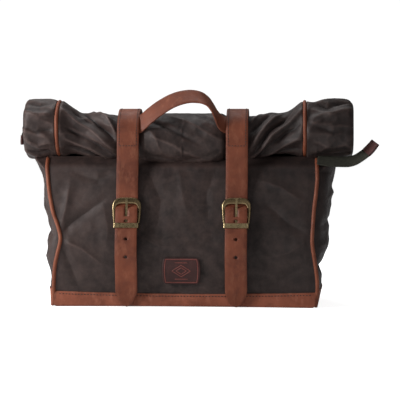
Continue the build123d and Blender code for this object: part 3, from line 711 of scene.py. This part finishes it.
# ---- rolled top
def roll_stations():
    """Lists stations along the roll as (x, rise of the middle, radius), with a closed cap at each end."""
    left, right = [], []
    waist = {-1: (29.5, 29.0, 3.0), 1: (28.0, 27.5, 5.0)}
    for side, end, run in ((-1, -roll_low[0], left), (1, roll_high[0], right)):
        ring = abs(ring_x[side])
        near, far, rise = waist[side]
        run += [(strap_x + 28, 1.5, near + 1), (strap_x + 46, rise, near), (mix(strap_x, ring, 0.68), rise + 1.5, far)]
        run += [(mix(strap_x, ring, 0.84), 9.0, 34.0), (ring - 6, 10.6, 38.6)]
        run += [(ring - 3.4, 11, 38.8), (ring - 1.2, 11, 37.2), (ring + 1.2, 11, 37.2), (ring + 4, 11, 40.4)]
        run += [(mix(ring, end, 0.35), 11, 42.0), (end - 10, 11, 42.4), (end - 4, 11, 40.4), (end - 1.2, 11, 36.5)]
        run += [(end, 11, 31), (end - 1.4, 10.8, 23), (end - 2.2, 10.6, 13), (end - 3, 10.5, 5), (end - 3.2, 10.5, 0.3)]
    inner = [(strap_x - 46, -2.2, 35.6), (strap_x - 24, -0.6, 33.4), (strap_x - 15, 0, 29.4), (strap_x, 0, 29.2),
             (strap_x + 15, 0, 29.4)]
    stations = [(-x, rise, r) for x, rise, r in reversed(inner + left)]
    return stations + [(0, -3.0, 36.4)] + inner + right


roll_length, roll_tracks = measured(roll_stations(), (0, 2))

# Creases of the roll, as lines of (x, degrees from the top towards the front).
mm_per_degree = 0.63
roll_folds = creases(
    (-146, 6, -122, 52, -95, 104, 5, -7.5), (-136, -6, -108, 40, -94, 84, 5, 5.5),
    (-168, 46, -134, 74, -97, 122, 6, 6), (-168, 84, -136, 102, -98, 140, 4.5, -5),
    (-168, 112, -132, 124, -98, 158, 5.5, 4.5), (-166, 136, -134, 146, -100, 172, 4.5, -4),
    (-160, 22, -146, 36, -128, 58, 4.5, -3.6), (-128, 8, -108, 22, -96, 40, 4, -3.4),
    (170, 44, 150, 66, 126, 96, 95, 158, 5.5, 6.5), (158, 22, 140, 54, 120, 88, 95, 148, 4.5, -7),
    (142, 18, 118, 64, 95, 118, 5, 5), (126, 14, 108, 52, 95, 84, 4, -4.2),
    (168, 76, 150, 92, 122, 124, 97, 166, 4.5, -5), (168, 104, 146, 122, 112, 158, 5.5, 4.6),
    (168, 132, 144, 146, 110, 172, 4.5, -4), (112, 10, 102, 28, 95, 50, 3.5, 2.8), (-30, 20, 8, 50, 58, 100, 6, 2.8),
    (-56, 40, -20, 66, 34, 110, 5, -2.6), (-56, 80, -14, 102, 40, 142, 6, 2.6), (16, 14, 40, 42, 60, 74, 4.5, -2.4),
    (-58, 122, -6, 140, 50, 124, 6, -2.2), (-58, 58, -40, 84, -30, 120, 5, 1.8), (178, 14, 204, 34, 236, 12, 5, -5),
    (180, 44, 208, 58, 238, 42, 5.5, 3.8), (182, 80, 212, 96, 240, 84, 5, -3.6),
    (182, 112, 212, 128, 240, 116, 6, 3.4), (184, 146, 212, 152, 236, 142, 5, -3),
    (-184, 24, -204, 36, -226, 22, 5, -4.2), (-186, 58, -204, 66, -226, 54, 5, 3.6),
    (-184, 90, -206, 96, -228, 84, 4.5, -4.4), (-186, 116, -206, 124, -226, 112, 5, 4.4),
    (-186, 142, -204, 150, -224, 140, 4.5, -4),
    scale=mm_per_degree,
)
# The back of the roll has the front's creases, mirrored, shifted and weaker.
mirror_folds = [([(x * 0.96 + 5, -a * 0.9 - 12) for x, a in line], w, h * 0.75) for line, w, h in roll_folds]


strap_hold, ring_hold = 17.0, 5.0  # how far a strap or a ring holds the cloth down
turn_gap = 6.2  # between the turns of cloth seen at an end
ear_x = 190.0  # beyond this the roll is an ear
lap_height = 5.5


def roll_at(u, v):
    """Places a point of the roll, along it and round it from the top towards the front."""
    x, rise, radius = (through(track, u * roll_length) for track in roll_tracks)
    turn = 2 * pi * v
    degree = degrees(turn) if v <= 0.5 else degrees(turn) - 360
    y0, z0 = sin(turn), cos(turn)
    # The straps and the ring pipings hold the cloth down.
    free = 1 - max(exp(-(((x - s * strap_x) / strap_hold) ** 6)) for s in (-1, 1))
    near_ring = min(abs(x - ring_x[s]) for s in (-1, 1))
    free *= 1 - 0.85 * exp(-((near_ring / ring_hold) ** 2))
    away = degree * mm_per_degree
    around = (radius * y0, radius * z0)
    depth = folds(x, away, roll_folds) + folds(x, away, mirror_folds)
    loose = 0.6 + 1.6 * ease(strap_x + 14, strap_x + 40, abs(x))
    twist = (x * 0.55 + (1 if x > 0 else -1) * away * 0.5, *around)
    depth += loose * (1.7 * wrinkle(*twist, 36, 1.1) + 0.9 * wrinkle(*twist, 17, 9.3))
    depth += 0.30 * rough(x, *around, 6, 4.3)
    in_cap = ease(30, 6, radius)
    # The cloth's turns show as a whorl pressed into each end.
    whorl = (radius / turn_gap + turn / (2 * pi) + 0.06 * rough(x, *around, 16, 2.2)) % 1.0
    cap = -2.6 * exp(-(((whorl - 0.5) / 0.13) ** 2)) + 1.0 * rough(0, *around, 12, 5.0) - 0.9
    cap = min(cap, 0.0) * ease(3, 9, radius)
    grown = radius + free * depth * (1 - in_cap) * ease(4, 26, radius)
    cap_share = ease(35, 27, radius) * (1 if abs(x) > ear_x else 0)
    outwards = (1 if x > 0 else -1) * cap * cap_share
    # The loose lap stands out low on the front, and the cinched part sags.
    lip = ease(60, 130, degree) * ease(185, 150, degree) * ease(165, 130, abs(x)) * mix(0.35, 1.0, free)
    grown += lap_height * lip
    sag = 1.0 + 0.05 * max(-z0, 0) * (1 if abs(x) < ear_x else 0)
    return ((x + outwards, roll_y - grown * y0, roll_z + rise + grown * z0 * sag * mix(1, 0.985, free)),
            (x * MM, (turn * 36) * MM))


roll = make_object("rolled_top", grid(420, 150, roll_at, wrap=True, flip=True), canvas)
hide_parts("roll_top")

ring_r, piping_r = 38.6, 2.7  # middle of the ring piping, and the thickness of a corner's by half
for hand, side in hands:
    points = []
    for k in range(96):
        turn = 2 * pi * k / 96
        r = ring_r + 0.5 * rough(side * 30, 20 * cos(turn), 20 * sin(turn), 9, 3.3)
        points.append((ring_x[side] + 0.7 * rough(side * 40, 20 * cos(turn), 20 * sin(turn), 12, 6.6),
                       roll_y - r * sin(turn), ear_z + r * cos(turn)))
    ring = make_object(f"{hand}_ring_piping", tube(points, 2.5, closed=True), piping_leather)
    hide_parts(f"{hand}_roll_piping")

# ---- piping down the corners
for hand, side in hands:
    front, back = [], []
    for k in range(90):
        z = mix(1.6, mouth_z + 6, k / 89)
        wobble = 0.5 * rough(side * 9, 0, z, 21, 5.5)
        front.append((edge_x(side, z) + side * (1.2 + wobble), through(front_side, z) + 1.4 + 0.4 * wobble, z))
        back.append((back_x(side, z) + side * 0.4, through(back_side, z) - 1.4 + 0.3 * wobble, z))
    for place, points in (("front", front), ("back", back)):
        cord = make_object(f"{place}_{hand}_corner_piping", tube(points, piping_r), piping_leather)
        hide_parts(f"{place}_{hand}_piping")


# ---- strips of leather and webbing
def strip(stations, section):
    """Sweeps a section along stations of (centre, across, normal, half width, half thickness, bend)."""
    count = len(section)
    lengths = [0.0]
    for a, b in zip(stations, stations[1:]):
        lengths.append(lengths[-1] + (b[0] - a[0]).length)

    def place(u, v):
        i = min(round(u * (len(stations) - 1)), len(stations) - 1)
        centre, across, normal, half, thick, curve = stations[i]
        a, b = section[round(v * count) % count]
        a, b = a * half, b * thick
        if curve:
            angle = a / curve
            shift = across * ((curve + b) * sin(angle)) + normal * ((curve + b) * cos(angle) - curve)
        else:
            shift = across * a + normal * b
        return centre + shift, (v * 4 * half * MM, lengths[i] * MM)

    bm = grid(len(stations) - 1, count, place, wrap=True)
    bmesh.ops.holes_fill(bm, edges=[e for e in bm.edges if e.is_boundary], sides=0)
    bmesh.ops.recalc_face_normals(bm, faces=bm.faces)
    return bm


def leather_section(half, thick, corner=0.8, across=6):
    """Lists a rounded strip's section as shares of its half width and half thickness."""
    cut_a, cut_b = corner / half, min(corner / thick, 0.8)
    edge = [(1, -1 + cut_b), (1, 1 - cut_b), (1 - 0.35 * cut_a, 1 - 0.35 * cut_b), (1 - cut_a, 1)]
    top = [(mix(1 - cut_a, -1 + cut_a, k / across), 1) for k in range(1, across)]
    left = [(-a, b) for a, b in reversed(edge)]
    low_right = [(1 - cut_a, -1), (1 - 0.35 * cut_a, -1 + 0.35 * cut_b)]
    low_left = [(-a, b) for a, b in reversed(low_right)]
    under = [(mix(-1 + cut_a, 1 - cut_a, k / across), -1) for k in range(1, across)]
    return edge + top + left + low_left + under + low_right


def along_line(points, spacing):
    """Resamples a side line of (y, z) at an even spacing, as (place, direction) pairs."""
    steps = max(int(measured(points)[0] / spacing), 2)
    spots = [Vector(spot) for spot in sample(points, steps)]
    return list(zip(spots, directions(spots)))


joints = {joint["name"]: joint for joint in frame["joints"]}


def joint_place(name):
    return [v / MM for v in joints[name]["pos_m"]]


heel_y, heel_z = joint_place("right_buckle_swing")[1:]
lean = 0.2  # of the front, where the buckles lie
up = Vector((lean, 1)).normalized()
out = Vector((-up[1], up[0]))


def on_buckle(u, v):
    """Gives (y, z) of a point u up the strap and v out from the heel bar."""
    return (heel_y + u * up[0] + v * out[0], heel_z + u * up[1] + v * out[1])


def tangent(point, radius, turn):
    """Gives the angle round the roll where a line from a point touches a circle."""
    dy, dz = point[0] - roll_y, point[1] - roll_z
    return (atan2(dz, dy) % (2 * pi)) + turn * acos(radius / hypot(dy, dz))


def over_roll(front_point, back_point, radius, step=5):
    """Lists (y, z) along a band drawn tight over the roll."""
    start = tangent(front_point, radius, -1)
    stop = tangent(back_point, radius, 1) - 2 * pi
    count = int(degrees(start - stop) / step)
    angles = [mix(start, stop, k / count) for k in range(count + 1)]
    return [(roll_y + radius * cos(a), roll_z + radius * sin(a)) for a in angles]


def between(a, b, count):
    """Lists points between two, both left out."""
    return [(mix(a[0], b[0], k / (count + 1)), mix(a[1], b[1], k / (count + 1))) for k in range(1, count + 1)]


strap_r = (strap_high[2] - roll_z) - 1.4
strap_front = on_buckle(38, -2.6)
strap_shoulder = (61.5, 192)
strap_foot = (back_y + 2.4, mouth_z - 56)  # where a strap is sewn to the back
arc = over_roll(strap_front, strap_shoulder, strap_r)
tail_tip = (base_low[1] - 2.2, tail_low[2])
through_buckle = [on_buckle(a, b) for a, b in (
    (-46, 3.6), (-32, 4.7), (-18, 5.4), (-8, 5.4), (2, 5.4), (12, 5.4), (16.2, 4.4), (20, 0.6), (23.6, -2.2),
    (28, -2.7), (33, -2.6))]
strap_line = [tail_tip] + between(tail_tip, through_buckle[0], 4) + through_buckle + [strap_front]
strap_line += between(strap_front, arc[0], 3) + arc
strap_line += between(arc[-1], strap_shoulder, 2) + [strap_shoulder, (67.5, 176), (72.5, 160), (74.2, 152), strap_foot]
strap_steps = along_line(strap_line, 2.0)
strap_half, strap_thick = strap_width / 2, 1.4
strap_section = leather_section(strap_half, strap_thick)
tip_length, blunt, blunt_share = 24.0, 3.2, 0.42  # a tail's point, its blunt end, and how wide that is


def tip_share(z):
    """Gives how wide the strap is at a height, as a share, narrowing to its rounded point."""
    down = z - tail_low[2]
    if down > tip_length:
        return 1.0
    if down < blunt:
        return blunt_share * max(down / blunt, 0.02) ** 0.5
    return mix(blunt_share, 1.0, ease(-0.6, 1.0, (down - blunt) / (tip_length - blunt)) * 1.12 - 0.12)


def outwards_of(way):
    """Gives the direction out of a strap that runs a way of (y, z)."""
    return Vector((0, -way[1], way[0]))


def strap_stations(x):
    """Lists a strap's stations from the tip of its tail to its foot at the back."""
    made = []
    for spot, way in strap_steps:
        wander = 0.35 * rough(x, 0, spot[1], 40, 2.7)
        half = strap_half * tip_share(spot[1]) if spot[0] < 0 else strap_half
        made.append((Vector((x + wander, *spot)), Vector((1, 0, 0)), outwards_of(way), half,
                     strap_thick, 0.0))
    return made


def strap_at(z, front):
    """Gives the strap's (place, direction) nearest a height, in front of a depth."""
    return min(strap_steps, key=lambda step: abs(step[0][1] - z) + (100 if step[0][0] > front else 0))


stitch_half = (1.55, 0.72, 0.5)  # half a stitch's length, width and height


def sew(name, rows, pitch=4.0):
    """Makes a piece of stitches spaced along rows of (points, normals)."""
    bm = bmesh.new()
    for points, normals in rows:
        need = pitch / 2
        for i in range(len(points) - 1):
            a, b = points[i], points[i + 1]
            length = (b - a).length
            while need <= length:
                made = bmesh.ops.create_icosphere(bm, subdivisions=1, radius=1)
                along = (b - a).normalized()
                normal = normals[i].lerp(normals[i + 1], need / length).normalized()
                axes = (along, along.cross(normal).normalized(), normal)
                matrix = Matrix([v * half for v, half in zip(axes, stitch_half)]).transposed().to_4x4()
                matrix.translation = a.lerp(b, need / length)
                bmesh.ops.transform(bm, matrix=matrix, verts=made["verts"])
                need += pitch
            need -= length
    return make_object(name, bm, strap_thread)


def cutter(bm, turn, place):
    """Makes a shape to cut with, turned about X and moved to a place."""
    bmesh.ops.rotate(bm, verts=bm.verts, cent=(0, 0, 0), matrix=Matrix.Rotation(turn, 3, "X"))
    bmesh.ops.translate(bm, verts=bm.verts, vec=place)
    return make_object("cutter", bm, strap_leather, body=None, smooth=False)


stitch_low = roll_z - 12  # the cross row of each strap's stitching
stitch_off = strap_thick + 0.05
hole_r = 2.2
hole_heights = [heel_z + 1.6, heel_z - 23.4, heel_z - 48.4]
slot_size, slot_place = (3.8, 8.0, 18.0), (15.6, 4.4)  # for the prong, with its place up and out from the heel
row_inset = 3.2  # from a strap's edge in to its stitches
sewn_above = 214.0  # height from which the straps are sewn behind the roll
for hand, side in hands:
    x = side * strap_x
    belt = make_object(f"{hand}_belt", strip(strap_stations(x), strap_section), strap_leather, body=None)
    cutters = []
    for z in hole_heights:
        hole = bmesh.new()
        bmesh.ops.create_cone(hole, cap_ends=True, segments=24, radius1=hole_r, radius2=hole_r, depth=9)
        cutters.append(cutter(hole, pi / 2, (x, strap_at(z, -60)[0][0], z)))
    slot = bmesh.new()
    bmesh.ops.create_cube(slot, size=1)
    bmesh.ops.scale(slot, verts=slot.verts, vec=slot_size)
    cutters.append(cutter(slot, -atan2(*up), (x, *on_buckle(*slot_place))))
    for shape in cutters:
        cut = belt.modifiers.new("Cut", "BOOLEAN")
        cut.operation, cut.solver, cut.object = "DIFFERENCE", "EXACT", shape
    bpy.context.view_layer.update()
    holed = bpy.data.meshes.new_from_object(belt.evaluated_get(bpy.context.evaluated_depsgraph_get()))
    belt.modifiers.clear()
    belt.data = holed
    for shape in cutters:
        bpy.data.objects.remove(shape)
    hinge_y, hinge_z = joint_place(f"{hand}_tail_lift")[1:]
    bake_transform(belt)
    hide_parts(f"{hand}_strap", f"{hand}_strap_tail")

    sewn = [(spot, outwards_of(way)) for spot, way in strap_steps
            if spot[1] > stitch_low - 1 and (spot[0] < 0 or spot[1] > sewn_above)]
    rows = [([Vector((x + edge * (strap_half - row_inset), *spot)) + normal * stitch_off for spot, normal in sewn],
             [normal for _, normal in sewn]) for edge in (-1, 1)]
    spot, way = strap_at(stitch_low, 0)
    normal = outwards_of(way)
    rows.append(([Vector((x + a, *spot)) + normal * stitch_off for a in (-12.3, 0, 12.3)], [normal] * 3))
    thread = sew(f"{hand}_strap_stitching", rows)

# ---- cast buckle frames
# One side of a frame's middle line as (across, up the strap, half width), from the heel to the bar.
frame_side = [(-16.6, -1.6, 1.9), (-17.2, 4, 2.0), (-17.7, 10, 2.1), (-17.9, 16, 2.2), (-17.7, 21.0, 2.6),
              (-16.2, 25.6, 3.4), (-12.6, 28.7, 4.1), (-8, 29.6, 4.3), (-4, 29.7, 4.35)]
frame_track = frame_side + [(0, 29.7, 4.35)] + [(-a, b, w) for a, b, w in reversed(frame_side)]
frame_spots = sample(frame_track, 90)
frame_ways = directions([Vector(spot[:2]) for spot in frame_spots])


def squared(share):
    """Pushes a circle's coordinate outwards, for a rounded square."""
    return abs(share) ** 0.8 * (1 if share > 0 else -1)


cast_section = [(squared(cos(pi * k / 10)), squared(sin(pi * k / 10))) for k in range(20)]
up_way, out_way = Vector((0, *up)), Vector((0, *out))
for hand, side in hands:
    x = side * strap_x
    cast = []
    for (a, b, half), along in zip(frame_spots, frame_ways):
        across = Vector((-along[1], 0, 0)) + up_way * along[0]
        y, z = on_buckle(b, 0.8)
        pitted = 1 + 0.03 * rough(x + a, b, 0, 5, 2.5)
        cast.append((Vector((x + a, y, z)), across, out_way, half * pitted, 1.7 * pitted, 0.0))
    cast_frame = make_object(f"{hand}_cast_frame", strip(cast, cast_section), brass, f"{hand}_buckle")
    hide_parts(f"{hand}_buckle_frame")
    bar = make_object(f"{hand}_heel_bar", tube([(x + a, heel_y, heel_z) for a in range(-16, 17, 2)], 1.7, 16),
                      brass, f"{hand}_buckle")

# ---- carrying handle
# (x, y, z) of its middle, with the angle of its width from level towards upright.
handle_track = [(-87, -46.2, 255.1, 65), (-74, -46.2, 255.1, 65), (-64, -46.4, 255.6, 65), (-56, -48.0, 260.5, 66),
                (-46, -50.6, 269.0, 64), (-31.5, -53.0, 279.8, 60), (-12, -54.0, 290.6, 54), (8, -54.0, 295.8, 47),
                (24, -53.6, 294.6, 40), (35, -52.8, 289.0, 30), (42, -51.6, 280.5, 26), (47, -50.4, 271.5, 32),
                (52, -48.6, 263.5, 46), (58, -47.2, 257.8, 60), (65, -46.4, 255.4, 65), (75, -46.2, 255.1, 65),
                (87, -46.2, 255.1, 65)]
handle_half, handle_thick = 12.5, 1.2
held_x = 52.0  # beyond this the handle lies round the roll, under a strap
handle_spots = sample(handle_track, 130, (0, 1, 2))
handle_stations = []
for (x, y, z, tilt), along in zip(handle_spots, directions([Vector(spot[:3]) for spot in handle_spots])):
    across = Vector((0, cos(radians(tilt)), sin(radians(tilt))))
    across = (across - along * across.dot(along)).normalized()
    normal = across.cross(along).normalized()
    if normal.y > 0.05 and normal.z < 0.5:
        normal = -normal
    if handle_stations and normal.dot(handle_stations[-1][2]) < 0:
        normal = -normal
    curve = mix(400, 33.3, ease(held_x, 62, abs(x))) if abs(x) > held_x else 0.0
    handle_stations.append((Vector((x, y, z)), across, normal, handle_half, handle_thick, curve))
carry = make_object("carrying_handle", strip(handle_stations, leather_section(handle_half, handle_thick, 0.7, 8)),
                    strap_leather, body=None)
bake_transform(carry)
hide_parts("handle", "left_handle_tab", "right_handle_tab")

# ---- webbing ends with their leather tips
slant = Vector((0, 0.714, 0.7))


def webbing_section(ribs=6, across=24):
    """Lists a ribbed strip's section as shares of its half width and half thickness."""
    top = [(mix(1, -1, k / across), 0.72 + 0.28 * abs(cos(pi * ribs * k / across))) for k in range(across + 1)]
    return top + [(-a, -b) for a, b in top]


def slanted(track, half, thick, steps, narrow=None):
    """Makes stations along (x, y, z) points, with a slanting width."""
    spots = [Vector(spot) for spot in sample(track, steps, (0, 2))]
    made = []
    for i, (spot, along) in enumerate(zip(spots, directions(spots))):
        across = (slant - along * slant.dot(along)).normalized()
        share = narrow(i / steps) if narrow else 1.0
        made.append((spot, across, across.cross(along).normalized(), half * share, thick, 0.0))
    return made


def ribbed(track, steps):
    """Sweeps a length of webbing."""
    return strip(slanted(track, 9.5, 0.95, steps), webbing_section())


def tip_ends(t):
    return 0.97 + 0.05 * sin(pi * t) if 0.02 < t < 0.98 else 0.94


def leather_tip(hand, track, half, thick, steps):
    """Caps a webbing's end with leather."""
    tip = make_object(f"{hand}_tip", strip(slanted(track, half, thick, steps, tip_ends),
                                           leather_section(half, thick, 0.9)), tip_leather, f"{hand}_tab")
    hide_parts(f"{hand}_tab_tip")


hinge_x, hinge_y, hinge_z = joint_place("right_tab_swing")
run_out = [(190, -40, 207), (200, -40, 205.4), (212, -40, 204.4), (hinge_x, hinge_y, hinge_z), (234, -40, 204.2),
           (243, -40, 206.8), (252, -40, 212.2), (260.5, -40, 218.6), (263.5, -40, 221.6)]
strap_end = make_object("right_webbing_run", ribbed(run_out, 60), webbing, body=None)
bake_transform(strap_end)
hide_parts("right_webbing", "right_webbing_tab")


leather_tip("right", [(258.0, -40, 216.6), (262, -40, 220.4), (266.5, -40, 225.4), (271.5, -40, 231.8)],
            10.3, 1.9, 24)

hinge_x, hinge_y, hinge_z = joint_place("left_tab_swing")
hang, hang_tip = ([(hinge_x - a, hinge_y, hinge_z - b) for a, b in places] for places in (
    ((0.2, 0), (1.4, 3), (2.2, 7), (2.6, 13.5)), ((2.5, 10.5), (2.5, 17), (2.2, 24))))
left_hang = make_object("left_webbing_run", ribbed(hang, 26), webbing, "left_tab")
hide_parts("left_webbing_tab")
leather_tip("left", hang_tip, 10.2, 1.8, 20)

# ---- patch with a plain lozenge
patch_middle = (patch_low[2] + patch_high[2]) / 2
patch_half_x, patch_half_z = (patch_high[0] - patch_low[0]) / 2, (patch_high[2] - patch_low[2]) / 2
barrel = 2.6  # how far the patch's sides bow out
border_share = 0.87  # where the border lies, as a share of the way out
patch_off, mark_off, mark_r = 2.9, 2.62, 0.62  # its face and its marks off the front, and a mark's radius


def patch_edge(a, b):
    """Maps a square to the patch's barrel outline, both from -1 to 1."""
    return (patch_half_x - barrel) * a + barrel * a * (1 - b * b), patch_half_z * b


def on_front(x, z, off):
    """Gives a place off the front's face."""
    return Vector((x, through(front_side, z) - off, z))


def patch_at(u, v):
    a, b = 2 * u - 1, 2 * v - 1
    corner = max(0, abs(a) + abs(b) - 1.86) * 0.5
    x, z = patch_edge(a * (1 - corner), b * (1 - corner))
    rim = max(abs(a), abs(b))
    pressed = 0.45 * exp(-(((rim - border_share) / 0.022) ** 2))
    off = patch_off - pressed - 0.5 * ease(0.95, 1.0, rim) + 0.15 * rough(x, 0, z, 12, 4.4)
    return on_front(x, patch_middle + z, off), (x * MM, z * MM)


patch = make_object("leather_label", grid(110, 80, patch_at), patch_leather)
thicken(patch, 1.6)
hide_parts("leather_patch")


def lozenge(half_x, half_z):
    """Lists points round a lozenge."""
    corners = [(half_x, 0), (0, half_z), (-half_x, 0), (0, -half_z)]
    return [(mix(a[0], b[0], k / 8), mix(a[1], b[1], k / 8))
            for a, b in zip(corners, corners[1:] + corners[:1]) for k in range(8)]


border = []
for k in range(160):
    leg, t = k // 40, (k / 20) % 2 - 1
    a, b = [(t, -1), (1, t), (-t, 1), (-1, -t)][leg]
    border.append(patch_edge(a * border_share, b * border_share))
bars = {name: [(x, z) for x in range(-9, 10, 2)] for name, z in (("upper", 11.6), ("lower", -11.6))}
for name, points, closed in (("label_border", border, True), ("label_lozenge", lozenge(13, 8.2), True),
                             ("label_inner_lozenge", lozenge(7.4, 4.6), True),
                             ("label_upper_bar", bars["upper"], False), ("label_lower_bar", bars["lower"], False)):
    line = tube([on_front(x, patch_middle + z, mark_off) for x, z in points], mark_r, 8, closed)
    mark = make_object(name, line, burnish)

# ---- stitching of the base and the facing
stitch_pitch, stitch_inset, row_drop = 4.4, 4.0, 3.4
foot_left, foot_right = edge_x(-1, base_band), edge_x(1, base_band)
front_row = []
for k in range(121):
    x = mix(foot_left + 6, foot_right - 6, k / 120)
    share = 2 * (x - foot_left) / (foot_right - foot_left) - 1
    z = base_band - row_drop + 2.9 * abs(share) ** 2.2
    front_row.append(Vector((x, base_low[1] + 0.1 + 1.2 * z / base_band, z)))
back_row = [Vector((x, back_y + 2.55, base_band - row_drop)) for x in range(-176, 177, 8)]
foot_thread = sew("base_stitching", [(front_row, [Vector((0, -1, 0))] * len(front_row)),
                                     (back_row, [Vector((0, 1, 0))] * len(back_row))], stitch_pitch)

left, right = facing_low[0] + stitch_inset, facing_high[0] - stitch_inset
low, high = facing_low[2] + stitch_inset, facing_high[2] - stitch_inset
corners = [Vector((x, facing_high[1] + 0.1, z))
           for x, z in ((left, low), (right, low), (right, high), (left, high), (left, low))]
facing_thread = sew("facing_stitching", [(corners, [Vector((0, 1, 0))] * 5)], stitch_pitch)

# ---- finishes of the nodes that stay
finishes = {"canvas": canvas, "lining": board, "board": board, "webbing": webbing, "tip_leather": tip_leather,
            "piping_leather": piping_leather, "patch_leather": patch_leather, "base_leather": base_leather,
            "antique_brass": brass, "strap_leather": strap_leather}
for node in frame["nodes"].values():
    node.data.materials[0] = finishes[node.data.materials[0].name.split(".")[0]]

# ---- floor, light and camera
floor_bm = bmesh.new()
bmesh.ops.create_grid(floor_bm, x_segments=1, y_segments=1, size=6000)
floor = make_object("floor", floor_bm, board, body=None)
floor_material = bpy.data.materials.new("Studio floor")
floor_material.use_nodes = True
tree = floor_material.node_tree
sight = add_node(tree, "LightPath").outputs["Is Camera Ray"]
for label, value in (("Base Color", (0.94, 0.94, 0.94)), ("Roughness", 0.9), ("Emission Color", (1.0, 1.0, 1.0)),
                     ("Emission Strength", remap(tree, sight, 0, 1, 0.05, 0.85))):
    plug(tree, tree.nodes["Principled BSDF"].inputs[label], value)
floor.data.materials[0] = floor_material

world = bpy.data.worlds.new("Studio")
bpy.context.scene.world = world
world.use_nodes = True
tree = world.node_tree
sight = add_node(tree, "LightPath").outputs["Is Camera Ray"]
plug(tree, tree.nodes["Background"].inputs["Color"], (1.0, 1.0, 1.0))
plug(tree, tree.nodes["Background"].inputs["Strength"], remap(tree, sight, 0, 1, 0.16, 1.05))
bpy.context.scene.view_settings.view_transform = "Standard"


def add_area(name, place, target, size, power):
    """Adds a square soft light that faces a target."""
    light = bpy.data.lights.new(name, "AREA")
    light.size = size
    light.energy = power
    lamp = bpy.data.objects.new(name, light)
    lamp.location = place
    lamp.rotation_euler = (Vector(target) - Vector(place)).to_track_quat("-Z", "Y").to_euler()
    bpy.context.scene.collection.objects.link(lamp)


middle = (0.02, 0.0, 0.15)
for name, place, size, power in (("Key", (-1.2, -0.62, 0.62), 0.45, 22), ("Fill", (0.7, -1.8, 0.6), 1.2, 2.4),
                                 ("Top", (-0.2, 0.3, 1.3), 0.8, 8)):
    add_area(name, place, middle, size, power)

aim = Vector((0.0259, -0.07, 0.1512))
yaw, rise, distance, view_width, film = radians(3.5), radians(3.5), 2.2, 0.560, 36
place = aim + Vector((sin(yaw) * cos(rise), -cos(yaw) * cos(rise), sin(rise))) * distance
camera = bpy.data.cameras.new("Camera")
camera.sensor_width = film
camera.lens = film * distance / view_width
eye = bpy.data.objects.new("Camera", camera)
eye.location = place
eye.rotation_euler = (aim - place).to_track_quat("-Z", "Y").to_euler()
bpy.context.scene.collection.objects.link(eye)
bpy.context.scene.camera = eye
